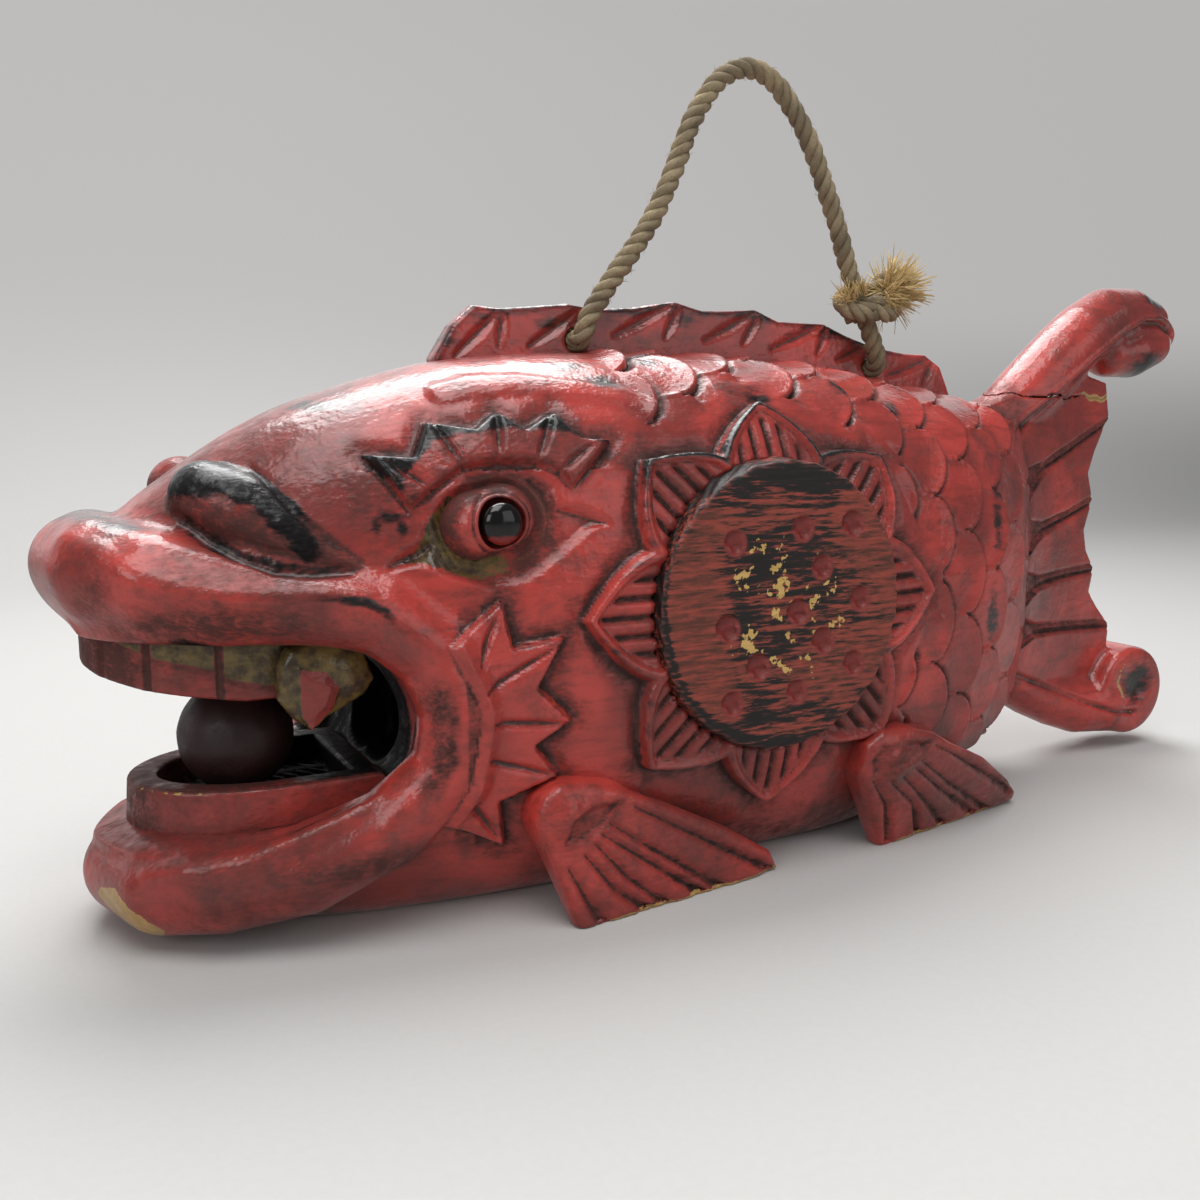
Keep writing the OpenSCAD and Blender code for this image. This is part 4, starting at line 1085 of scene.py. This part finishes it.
def dress_trunk(skin):
    """Carves brow, cheek frill, petals and scales into the skin, and marks wear and painted shade.

    Returns the black of the right half, where the nostril is still red."""
    s, y, z = skin.p.T
    n = skin.normals()
    on_side = (y < -20) & (s > 122)
    hollow, gold, eye_stain = eye_hollow(s, z)
    frill, frill_black, frill_stain = brow_and_cheek(s, z)
    petals, petal_black, petal_stain, free = petal_relief(s, z)
    scales, scale_black, scale_stain = scale_relief(s, y, z, free)
    height = on_side * (hollow + frill + petals) + scales
    crown = smoothstep(-16, -3, z - back_z(s)) * smoothstep(84, 120, s) * smoothstep(330, 240, s)
    black = most(on_side * most(frill_black, petal_black), scale_black, 0.42 * crown,
                 *(0.74 * spot(s, z, *patch) * (y < -15) for patch in SCALE_SOOT))
    # Painted shade on the lower flank, darker towards the bottom
    underside_shade = smoothstep(58, 14, z) * smoothstep(170, 240, s)
    stain = most(on_side * most(eye_stain, frill_stain, petal_stain), scale_stain, 0.5 * underside_shade)

    # The skin moves along its normals, and the sawn face and the foot stay flat
    pinned = np.abs(y) < 0.01
    way = n.copy()
    way[pinned, 1] = 0
    skin.p = skin.p + way * height[:, None]
    skin.p[pinned, 1] = 0
    skin.p[:, 2] = np.maximum(skin.p[:, 2], 0)

    s, y, z = skin.p.T
    head_black, head_stain = head_wear_and_shade(s, y, z, n)
    nostril_black, nostril_stain = nostril_wear_and_shade(s, y, z)
    chip = line_distance(s, z, (19, 24), (35, 12))[0] + 0.26 * np.abs(y + 36)
    far_black = np.clip(most(black, head_black), 0, 1)
    skin.mark(black=most(far_black, nostril_black), bare=0.95 * smoothstep(10, 6, chip) * (s < 60),
              gold=on_side * gold, stain=most(stain, head_stain, nostril_stain))
    return far_black


trunk_skin = carve_trunk(pitch=1.35)
far_black = dress_trunk(trunk_skin)
make_piece("carved_trunk_left", trunk_skin, lacquer, "trunk_left", cap=True)
# The right nostril is still red, and the right of the chin isn't chipped
trunk_skin.values.update(black=far_black, bare=0 * far_black)
make_piece("carved_trunk_right", trunk_skin, lacquer, "trunk_right", flip=True, cap=True)


# Dorsal fin and tail

CREST = [(186, .05), (196, .55), (208, .86), (222, .78), (236, .80), (262, .86), (276, .78), (300, .84),
         (328, 1), (346, .88), (362, .92), (382, 1), (398, .84), (416, .90), (432, .96), (448, .84),
         (470, .74), (494, .76), (512, .84), (524, .66), (532, .05)]
CREST_H = 30.0
DORSAL_CUTS = [
    ((197, 268), (221, 290)), ((221, 274), (224, 290)), ((238, 274), (269, 294)), ((262, 284), (273, 294)),
    ((288, 281), (324, 298)), ((320, 281), (330, 297)), ((346, 280), (382, 297)), ((372, 279), (384, 295)),
    ((392, 277), (429, 291)), ((425, 275), (434, 290)), ((440, 272), (466, 283)), ((460, 268), (470, 281)),
    ((479, 263), (514, 274)), ((508, 258), (518, 272))]


def carve_dorsal(pitch):
    """The board let into the seam of the back, thinned towards its wavy crest."""
    block = Block((180, -10.5, 222), (538, 10.5, 304), pitch)
    cut, s, y, z = block.everywhere()
    crest = [(a, float(back_z(a)) + CREST_H * b) for a, b in CREST]
    foot = [(a, float(back_z(a)) - 14) for a in np.linspace(528, 190, 11)]
    thin = 8 - 2.6 * smoothstep(2, 30, z - back_z(s))
    block.add(cut, soft_max(np.abs(y) - thin, -side_depth(s, z, crest + foot), 3.5))
    for a, b in (ROPE_ROUTE[0], ROPE_ROUTE[-1]):
        block.rod([(a, -20, b, 6.3), (a, 20, b, 6.3)], 1, remove=True)
    skin = block.skin()
    s, y, z = skin.p.T
    face = smoothstep(0.2, 0.7, np.abs(skin.normals()[:, 1]))
    skin.push(-v_cuts(s, z, DORSAL_CUTS, 4.2, 3.0) * face)
    rim = outline_depth(s, z, crest + foot)
    return skin.mark(black=most(
        0.56 * smoothstep(13, 1, rim) * smoothstep(255, 275, z) * smoothstep(530, 470, s),
        *(0.62 * spot(s, z, a, b, 13, 7)
          for a, b in ((212, 288), (250, 286), (334, 290), (388, 294), (436, 288)))))


TAIL_EDGE = [(560, 84), (560, 246), (600, 256), (640, 270), (679, 262), (684, 238), (670, 214), (664, 200),
             (671, 181), (663, 160), (667, 146), (678, 132), (674, 116), (684, 104), (698, 90), (697, 74),
             (704, 60), (690, 30), (640, 38), (600, 54)]
UPPER_ROLL = [(578, 0, 234, 18), (600, 0, 250, 20), (618, 0, 264, 21), (636, 0, 279, 21), (656, 0, 294, 21),
              (678, 0, 305, 21), (700, 0, 308, 19), (718, 0, 304, 17), (732, 0, 296, 13)]
ROLL_LIP = [(572, 221), (590, 236), (619, 254), (649, 274), (680, 293), (697, 301), (716, 302), (732, 297)]
LOWER_ROLL = [(578, 0, 70, 13), (598, 0, 58, 14), (622, 0, 46, 15), (648, 0, 37, 17), (672, 0, 32, 20),
              (694, 0, 32, 22)]
SCROLL_S, SCROLL_Z, SCROLL_R = 711.0, 42.0, 32.0
RAYS = [  # upper and lower line of the groove below each panel
    [[(580, 205), (606, 209), (640, 221), (693, 243)], [(580, 186), (606, 201), (641, 214), (693, 236.5)]],
    [[(582, 172), (606, 169), (640, 175), (683, 188)], [(582, 150), (606, 160), (640, 168), (683, 181)]],
    [[(582, 138), (606, 133), (640, 134.5), (688, 136)],
     [(582, 116), (606, 124), (640, 127.5), (688, 129.5)]],
    [[(584, 106), (606, 100), (640, 97.5), (708, 93)], [(584, 86), (606, 91), (640, 90), (708, 86)]]]
SCROLL_LINE = [(590, 66), (630, 52), (667, 37), (690, 29), (712, 26)]


def tail_relief(s, z):
    """Grooves between the rays, each with a rib, and the cut lines of the scroll and the upper roll."""
    relief = np.zeros(len(s))
    for upper, lower in RAYS:
        wedge = outline_depth(s, z, upper + lower[::-1])
        relief -= 3.0 * smoothstep(-1.2, 1.6, wedge)
        rib = [(0.66 * a + 0.34 * c, 0.66 * b + 0.34 * d) for (a, b), (c, d) in zip(upper, lower)]
        relief += 3.0 * along_line(s, z, rib, 2.6) * smoothstep(602, 622, s)
    relief -= 2.4 * along_line(s, z, SCROLL_LINE, 3.2)
    relief -= 3.2 * along_line(s, z, ROLL_LIP, 4.0)
    relief += 1.6 * along_line(s, z, [(a - 3, b + 4) for a, b in ROLL_LIP], 3.0)
    return relief


def mark_tail(skin, crack):
    """Painted black shade in the hollows of the rolls and the scroll, painted shadow in the grooves, darker
    at the root, and wood laid bare along the glue line and the scroll.
    """
    s, y, z = skin.p.T
    # Painted black shade in the upper curl, under the upper roll and in the middle of the scroll
    black = most(spot(s, z, 716, 322, 20, 14), spot(s, z, 714, 47, 17, 17),
                 0.95 * spot(s, z, 706, 272, 18, 12))
    stain = 0.5 * smoothstep(596, 578, s)
    for upper, lower in RAYS:
        # Painted shadow along the lower line of each groove and over the groove
        black = most(black, 0.5 * along_line(s, z, lower, 3.5) * smoothstep(640, 596, s))
        stain = most(stain, 0.62 * smoothstep(-3, 2, outline_depth(s, z, upper + lower[::-1])))
    bare = most(0.75 * smoothstep(4, 1, np.abs(z - crack)) * smoothstep(640, 656, s),
                0.52 * along_line(s, z, [(698, 62), (694, 50), (700, 38)], 3.5),
                0.40 * along_line(s, z, SCROLL_LINE[1:], 2.5))
    return skin.mark(black=black, bare=bare, stain=stain)


def carve_tail(pitch):
    """The whole tail before it is sawn: fan board, upper roll and lower scroll.

    Also returns the height of the glue line, now a crack, at each point."""
    block = Block((556, -42, -2), (756, 42, 332), pitch)
    cut, s, y, z = block.everywhere()
    thin = np.interp(s, (608, 678), (14, 6))
    root = np.interp(s, (556, 570, 576, 588, 598, 610, 625, 645, 678),
                     (38, 37.5, 35.5, 30, 25, 20, 15.5, 11, 6))
    thin = thin + np.clip(root - thin, 0, None) * np.sqrt(np.clip(1 - ((z - 146) / 88) ** 2, 0, 1))
    thin = np.where(s < 572, np.minimum(thin, np.maximum(flank_y(s, z) - 2, 14)), thin)
    block.add(cut, soft_max(np.abs(y) - thin, -side_depth(s, z, TAIL_EDGE), 3))
    block.rod(UPPER_ROLL, 5)
    block.rod([(684, 0, 280, 14), (704, 0, 283, 17), (722, 0, 288, 15)], 4, flat=(1, 0.85, 1))
    block.rod(LOWER_ROLL, 6)
    scroll = np.hypot(s - SCROLL_S, z - SCROLL_Z) - SCROLL_R
    block.add(cut, soft_max(scroll, np.abs(y) - 20, 7), 5)
    for side in (-1, 1):
        block.rod([(706, side * 31, 52, 13), (716, side * 31, 44, 15)], 4, remove=True)
        block.rod([(693, side * 24, 62, 4), (697, side * 25, 48, 6), (704, side * 26, 36, 6)], 3, remove=True)
        block.rod([(700, side * 30, 268, 8), (725, side * 31, 290, 9)], 5, remove=True)
    block.take(cut, z, 2)
    skin = block.skin()
    s, y, z = skin.p.T
    skin.push(tail_relief(s, z) * smoothstep(0.2, 0.7, np.abs(skin.normals()[:, 1])))
    s = skin.p[:, 0]
    crack = 252 + 1.2 * np.sin(s / 6.0) + 0.8 * np.sin(s / 2.3 + 1)
    return mark_tail(skin, crack), crack


def sawn(skin, keep):
    """The part of a skin whose quads are all kept."""
    quads = skin.quads[keep[skin.quads].all(1)]
    used = np.unique(quads)
    number = np.full(len(skin.p), -1)
    number[used] = np.arange(len(used))
    part = Skin(skin.p[used], number[quads])
    part.values = {k: v[used] for k, v in skin.values.items()}
    return part


make_piece("carved_dorsal_fin", carve_dorsal(pitch=1.15), lacquer, "dorsal_fin")
tail_skin, crack_z = carve_tail(pitch=1.2)
below = tail_skin.p[:, 2] < crack_z
make_piece("carved_tail_fan", sawn(tail_skin, below), lacquer, "tail_fan", cap=True)
make_piece("carved_tail_lobe", sawn(tail_skin, ~below), lacquer, "tail_upper_lobe", cap=True)


# Side fins

PECTORAL = dict(
    edge=[(201, 63), (209, 68), (224, 68), (243, 62), (273, 48), (306, 31), (336, 12), (342, 1),
          (300, -4), (260, -4), (216, -4), (208, 21), (201, 42), (198, 52)],
    leaf=[(210, 41), (214, 52), (224, 57), (244, 57), (234, 46), (221, 40)],
    rays=[[(250, 52), (298, 24), (336, 2)], [(236, 46), (263, 27), (303, 0)],
          [(231, 42), (262, 20), (290, 0)], [(227, 38), (244, 19), (267, 0)],
          [(221, 34), (237, 14), (256, 0)], [(212, 29), (221, 12), (229, 0)]],
    shoulder=(212, -89, 52, 17), front=(220, -103), rear=(342, -87))
PELVIC = dict(
    edge=[(389, 48), (393, 64), (404, 70), (424, 70), (441, 65), (455, 57), (488, 42), (524, 19),
          (538, 8), (540, 1), (496, -4), (459, -4), (414, -4), (398, 30)],
    leaf=[(398, 46), (395, 55), (402, 62), (417, 64), (438, 61), (426, 52), (410, 47)],
    rays=[[(441, 58), (476, 39), (528, 11)], [(431, 50), (463, 29), (512, 0)],
          [(428, 46), (457, 26), (500, 0)], [(420, 42), (459, 10), (470, 0)],
          [(411, 40), (435, 22), (446, 0)], [(399, 42), (412, 26), (420, 0)]],
    shoulder=(411, -91.4, 54, 15), front=(419, -84), rear=(541, -62))


def carve_side_fin(fin, pitch):
    """A fin slab that leans from its round shoulder on the flank to a long foot on the floor."""
    e = np.array(fin["edge"], float)
    block = Block((e[:, 0].min() - 4, -120, -3), (e[:, 0].max() + 4, -44, e[:, 1].max() + 5), pitch)
    cut, s, y, z = block.everywhere()
    s0, y0, z0, r0 = fin["shoulder"]
    (sf, yf), (sr, yr) = fin["front"], fin["rear"]
    share = np.clip((s - sf) / (sr - sf), 0, 1)
    up = np.clip(z / z0, 0, 1)
    lean = (yf + (yr - yf) * share) * (1 - up) + y0 * up
    thick = 6.5 + (0.72 * r0 - 6.5) * up * smoothstep(0.75, 0.1, share)
    block.add(cut, soft_max(np.abs(y - lean) - thick, -side_depth(s, z, fin["edge"]), 5))
    block.rod([(s0 + 2, y0 - 0.4, z0, r0), (s0 + 24, y0 + 2, z0 + 2, r0 * 0.72)], 5)
    block.take(cut, z, 1.5)
    skin = block.skin()
    s, y, z = skin.p.T
    out = smoothstep(0.15, 0.6, -skin.normals()[:, 1])
    cuts = np.zeros(len(s))
    for ray in fin["rays"]:
        run = sum(math.dist(a, b) for a, b in chain(ray))
        gone = 0.0
        for a, b in chain(ray):
            d, t = line_distance(s, z, a, b)
            k = (gone + t * math.dist(a, b)) / run
            gone += math.dist(a, b)
            wide = 2.0 + 2.6 * k
            cuts = np.maximum(cuts, (1.6 + 2.0 * k) * np.clip(1 - d / wide, 0, 1))
    leaf = outline_depth(s, z, fin["leaf"])
    sunk = 2.6 * smoothstep(-0.5, 2.5, leaf)
    skin.push(-np.maximum(cuts, sunk) * out)
    s, y, z = skin.p.T
    black = 0.55 * np.clip(cuts / 2.8, 0, 1) * smoothstep(10, 40, s - s0) * out
    stain = out * most(0.6 * np.clip(cuts / 2.0, 0, 1), 0.55 * smoothstep(3, 0, np.abs(leaf)),
                       0.34 + 0.16 * smoothstep(-1, 2, leaf))
    bare = most(0.62 * smoothstep(4.0, 1.0, z) * smoothstep(0, 20, s - s0),
                0.8 * spot(s, z, e[:, 0].max(), 4, 5, 6))
    return skin.mark(black=black, bare=bare, stain=stain)


for kind, fin in (("pectoral", PECTORAL), ("pelvic", PELVIC)):
    fin_skin = carve_side_fin(fin, pitch=1.2)
    for side, flip in SIDES:
        make_piece(f"carved_{kind}_{side}", fin_skin, lacquer, f"{kind}_fin_{side}", flip)


# Mouth: teeth, fangs, gum and pearl

TOOTH_ARCH = (16, 48, 97)                       # front, half width and rear of the jaw's plan
TOOTH_FOOT = np.array([(13, 129), (22, 124), (39, 119), (56, 116), (80, 112), (98, 112)], float)
TOOTH_GAPS = (23, 40, 69)
FANG = [(97, 136), (108, 140), (122, 139), (131, 133), (136, 119), (131, 112), (115, 104), (105, 99),
        (99, 103), (92, 113), (93, 129)]
FANG_POINT = [(100, 128), (113, 126), (119, 118), (115, 108), (105, 98.5), (100, 106)]
GUM_ARCH = (31, 50, 144)
GUM_LOW, GUM_TOP = 46.25, 71.0
PEARL = (83.0, 0.0, 85.75)
PEARL_R = 27.5


def jaw_arch(front, wide, back):
    """Plan of a jaw: a half oval with straight sides."""
    turn = np.radians(np.linspace(90, 270, 25))
    return [(front + 1.3 * wide * (1 + math.cos(a)), wide * math.sin(a)) for a in turn] + [
        (back, -wide), (back, wide)]


def arch_depth(s, y, arch):
    """How far inside the jaw's plan a column of the block lies."""
    flat_s, flat_y = np.broadcast_arrays(s[:, :, 0], y[:, :, 0])
    return outline_depth(flat_s, flat_y, jaw_arch(*arch))[:, :, None]


def carve_teeth(pitch):
    """One band bent round the jaw, scored into teeth: gilded above, red below, smoky at the front."""
    block = Block((8, -54, 104), (104, 54, 160), pitch)
    cut, s, y, z = block.everywhere()
    inside = arch_depth(s, y, TOOTH_ARCH)
    foot = np.interp(s, *TOOTH_FOOT.T)
    band = soft_max(np.maximum(-inside, inside - 12), np.maximum(foot - z, z - foot - 27), 2.2)
    block.add(cut, np.maximum(band, s - TOOTH_ARCH[2]))
    front, wide, _ = TOOTH_ARCH
    for gap in TOOTH_GAPS:
        across = wide * math.sqrt(max(0.0, 1 - (1 - (gap - front) / (1.3 * wide)) ** 2)) if gap < 78 else wide
        for side in (-1, 1):
            block.rod([(gap, side * (across + 0.4), h, 1.6) for h in (100, 165)], 0.6, remove=True)
    block.rod([(front - 0.6, 0, h, 1.4) for h in (100, 165)], 0.6, remove=True)
    skin = block.skin()
    s, y, z = skin.p.T
    level = (z - np.interp(s, *TOOTH_FOOT.T)) / 24
    gilt = np.interp(s, (18, 30, 44, 69, 71, 97), (0.86, 0.74, 0.62, 0.54, 0.42, 0.2))
    gold = 0.8 * smoothstep(gilt - 0.06, gilt + 0.08, level)
    gap = np.min([np.abs(s - g) for g in TOOTH_GAPS + (16,)], 0)
    slot = smoothstep(2.6, 1.2, gap)
    gold *= 1 - slot
    stain = most(0.85 * smoothstep(48, 30, s), slot, 0.8 * smoothstep(0.78, 1.0, level),
                 0.34 + 0.2 * smoothstep(0.5, 0.3, np.abs(level - gilt) * 4))
    return skin.mark(gold=gold, black=0.3 * slot, stain=stain)


def carve_fang(pitch):
    """A rounded shield on the jaw with a faceted point standing out of it."""
    block = Block((88, -80, 94), (142, -44, 150), pitch)
    cut, s, y, z = block.everywhere()
    shield, point = side_depth(s, z, FANG), side_depth(s, z, FANG_POINT)
    face = -57 - 6 * np.sqrt(np.clip(shield / 12, 0, 1))
    block.add(cut, soft_max(soft_max(face - y, y + 47, 1), -shield, 2))
    tip = np.where(point > 0, -62.5 - 0.45 * np.minimum(point, 5), 1e3)
    block.add(cut, np.maximum((tip - y) * 0.72, np.maximum(y + 50, -point)))
    skin = block.skin()
    s, y, z = skin.p.T
    on_point = smoothstep(-0.6, 2.2, outline_depth(s, z, FANG_POINT)) * (y < -60)
    return skin.mark(gold=1.0 - on_point, black=0.3 * smoothstep(110, 98, z) * (1 - on_point),
                     stain=on_point * (0.3 + 0.5 * smoothstep(112, 126, s + 0.5 * (z - 115))))


def carve_gum(pitch):
    """The lower jaw's plate: a low wall round a roughly gouged hollow where the pearl lies."""
    block = Block((24, -58, 40), (152, 58, 80), pitch)
    cut, s, y, z = block.everywhere()
    inside = arch_depth(s, y, GUM_ARCH)
    lean = 0.07 * (z - GUM_LOW)
    slab = soft_max(-(inside - lean), np.maximum(GUM_LOW - z, z - GUM_TOP), 2.5)
    block.add(cut, slab)
    rough = 1.6 * np.sin(s / 2.7 + 0.6 * y) * np.sin(y / 3.1 + 0.4 * s)
    block.take(cut, soft_max(15 - inside, 58.5 + rough - z, 3), 2)
    block.rod([(PEARL[0] + x, 0, PEARL[2], PEARL_R + 0.6) for x in (-0.1, 0.1)], 0, remove=True)
    skin = block.skin()
    s, y, z = skin.p.T
    inside = outline_depth(s, y, jaw_arch(*GUM_ARCH))
    top = smoothstep(0.4, 0.8, skin.normals()[:, 2])
    pit = smoothstep(12, 17, inside)
    within = smoothstep(2, 6, inside)
    # Black deep in the pearl's hollow; the black and the darkening at the hollow's rear are painted shade
    # inside the mouth
    black = most(0.9 * pit * smoothstep(44, 70, s), smoothstep(92, 116, s) * within)
    shade_and_darkening = most(0.8 * top, pit, smoothstep(86, 106, s) * within, 0.7 * smoothstep(52, 36, s),
                  0.34 + 0.16 * smoothstep(58, 48, z))
    bare = 0.40 * smoothstep(1.6, 0.6, np.abs(inside - 2.0)) * (z > GUM_TOP - 2) * smoothstep(130, 100, s)
    return skin.mark(black=black, bare=bare, gold=0.42 * pit * smoothstep(72, 50, s), stain=shade_and_darkening)


def carve_pearl(pitch):
    """A ball cut with a knife: nearly round, with the faint flats of the blade."""
    r = PEARL_R - 0.15
    block = Block([c - r - 2 for c in PEARL], [c + r + 2 for c in PEARL], pitch)
    cut, s, y, z = block.everywhere()
    d = np.sqrt((s - PEARL[0]) ** 2 + (y - PEARL[1]) ** 2 + (z - PEARL[2]) ** 2) - r
    for way in rng.normal(0, 1, (70, 3)):
        a, b, c = way / np.linalg.norm(way)
        d = soft_max(d, a * (s - PEARL[0]) + b * (y - PEARL[1]) + c * (z - PEARL[2]) - r + 0.35, 0.6)
    block.add(cut, d)
    return block.skin()


make_piece("carved_upper_teeth", carve_teeth(pitch=0.9), lacquer, "upper_teeth")
fang_skin = carve_fang(pitch=0.7)
for side, flip in SIDES:
    make_piece(f"carved_fang_{side}", fang_skin, lacquer, f"fang_{side}", flip)
make_piece("carved_lower_gum", carve_gum(pitch=1.0), lacquer, "lower_gum")
pearl_skin = carve_pearl(pitch=1.2)
make_piece("carved_pearl", pearl_skin, dark_lacquer(), "mouth_pearl", body="pearl")


# Eyes

EYE_Y = float(flank_y(EYE_S, EYE_Z)) - 4
EYE_R = 15.5
PUPIL_S, PUPIL_R = 185.0, 9.6
PUPIL_BASE = EYE_Y + 8.5


def carve_eye(pitch):
    """An oval eyeball with a round pocket for the pupil bead."""
    block = Block((156, -EYE_Y - 20, 168), (212, -EYE_Y + 18, 214), pitch)
    block.rod([(a, -EYE_Y, b, EYE_R) for a, b in EYE_LINE], 0)
    block.rod([(PUPIL_S, -EYE_Y - 10.5, EYE_Z, 11.4), (PUPIL_S, -EYE_Y - 30, EYE_Z, 12.4)], 1.2, remove=True)
    skin = block.skin()
    s, y, z = skin.p.T
    r = np.hypot(s - PUPIL_S, z - EYE_Z)
    outer = line_distance(s, z, *EYE_LINE)[0]
    ring = np.exp(-((r - 14.4) / 0.9) ** 2) * (y < -EYE_Y - 4)
    skin.push(-0.9 * ring)
    return skin.mark(black=most(0.5 * smoothstep(12.6, 11, r) * (y < -EYE_Y), 0.5 * ring),
                     gold=0.3 * spot(r, 0, 13, 0, 1.2, 1),
                     stain=most(0.3 + 0.55 * smoothstep(10, 14.5, outer), 0.7 * ring))


def turn_pupil():
    """A bead turned about its axis across the fish: a short shank and a full dome with a soft shoulder."""
    rise = np.radians(np.linspace(0, 90, 14))
    profile = [(0.0, 0.0), (PUPIL_R * 0.94, 0.0)] + [
        (PUPIL_R * math.cos(a) ** 0.9, 4.6 + 5.0 * math.sin(a)) for a in rise[:-1]] + [(0.05, 9.6)]
    sides = 48
    a = np.linspace(0, 2 * np.pi, sides, endpoint=False)
    p = np.array([(PUPIL_S + r * c, -PUPIL_BASE - h, EYE_Z + r * e) for r, h in profile
                  for c, e in zip(np.cos(a), np.sin(a))])
    skin = Skin(p, ring_quads(len(profile), sides)[:, ::-1])
    skin.values = {"black": smoothstep(-7.5, -3, p[:, 2] - EYE_Z)}
    return skin


eye_skin, pupil_skin, bead_gloss = carve_eye(pitch=0.7), turn_pupil(), black_gloss()
for side, flip in SIDES:
    make_piece(f"carved_eye_{side}", eye_skin, lacquer, f"eye_{side}", flip)
    make_piece(f"pupil_bead_{side}", pupil_skin, bead_gloss, f"pupil_{side}", flip)


# Striking plates

DENTS = [(-0.43, 0.46), (0.12, 0.53), (0.55, 0.54), (0.29, 0.26), (0.63, 0.02), (-0.47, -0.11), (0.10, -0.04),
         (0.32, -0.26), (-0.22, -0.39), (0.59, -0.44), (-0.43, -0.62), (0.10, -0.59)]


def carve_plate(pitch):
    """A round board with a rough bevelled wall and the dents of many blows."""
    block = Block((PLATE_S - 78, PLATE_FACE - 3, PLATE_Z - 78),
                  (PLATE_S + 78, PLATE_BACK + 3, PLATE_Z + 78), pitch)
    cut, s, y, z = block.everywhere()
    r = np.hypot(s - PLATE_S, z - PLATE_Z)
    turn = np.arctan2(z - PLATE_Z, s - PLATE_S)
    wall = PLATE_R - 0.12 * (PLATE_BACK - y) - 0.35 * np.sin(23 * turn) - 0.3 * np.sin(37 * turn + y)
    block.add(cut, soft_max(r - wall, np.maximum(PLATE_FACE - y, y - PLATE_BACK), 2.2))
    for a, b in DENTS:
        x, h = PLATE_S + a * PLATE_R, PLATE_Z + b * PLATE_R
        size = 6.9 + 0.7 * math.sin(9 * a + 5 * b)
        block.rod([(x, PLATE_FACE - 2.4, h, size), (x + 1.2, PLATE_FACE - 1.0, h - 2.2, size * 0.6)], 0,
                  remove=True)
    skin = block.skin()
    s, y, z = skin.p.T
    x, h = (s - PLATE_S) / PLATE_R, (z - PLATE_Z) / PLATE_R
    r = np.hypot(x, h)
    face = smoothstep(0.4, 0.8, -skin.normals()[:, 1])
    grain = np.sin(z * 2.1 + 1.3 * np.sin(s / 23)) * np.sin(z * 0.83 + s / 31)
    grain += 0.6 * np.sin(z * 4.3 + s / 17)
    skin.push(0.16 * grain * face)
    hit = most(*(smoothstep(7.6, 6, PLATE_R * np.hypot(x - a - 0.006, h - b + 0.012)) for a, b in DENTS))
    low = smoothstep(0.1, 0.9, -0.5 * x - 0.85 * h)
    rim = smoothstep(0.95 - 0.1 * low, 0.99 - 0.04 * low, r)
    black = 0.8 * rim * smoothstep(-0.3, 0.3, -x - 0.35 * h) + 0.62 * smoothstep(0.62, 0.9, h)
    black += 0.38 * smoothstep(0.9, 0.2, r) + 0.45 * spot(x, h, 0.1, -0.74, 0.5, 0.14)
    black -= 0.4 * spot(x, h, -0.66, -0.05, 0.18, 0.5) + 0.4 * spot(x, h, 0.62, 0.62, 0.22, 0.2)
    black -= 0.35 * (1 - face)
    return skin.mark(black=black, gold=smoothstep(0.78, 0.35, r) * (1 - hit) * face, dent=hit * face)


plate_skin, struck = carve_plate(pitch=1.0), struck_lacquer()
for side, flip in SIDES:
    make_piece(f"struck_plate_{side}", plate_skin, struck, f"strike_plate_{side}", flip)


# Pegs and pins keep their CAD shape

pegs = peg_wood()
for name in ("seam_pegs", "dorsal_pins", "tail_pegs", "lobe_pegs", "plate_pins", "fin_pegs"):
    peg_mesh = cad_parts[name].data
    peg_mesh.materials.clear()
    peg_mesh.materials.append(pegs)
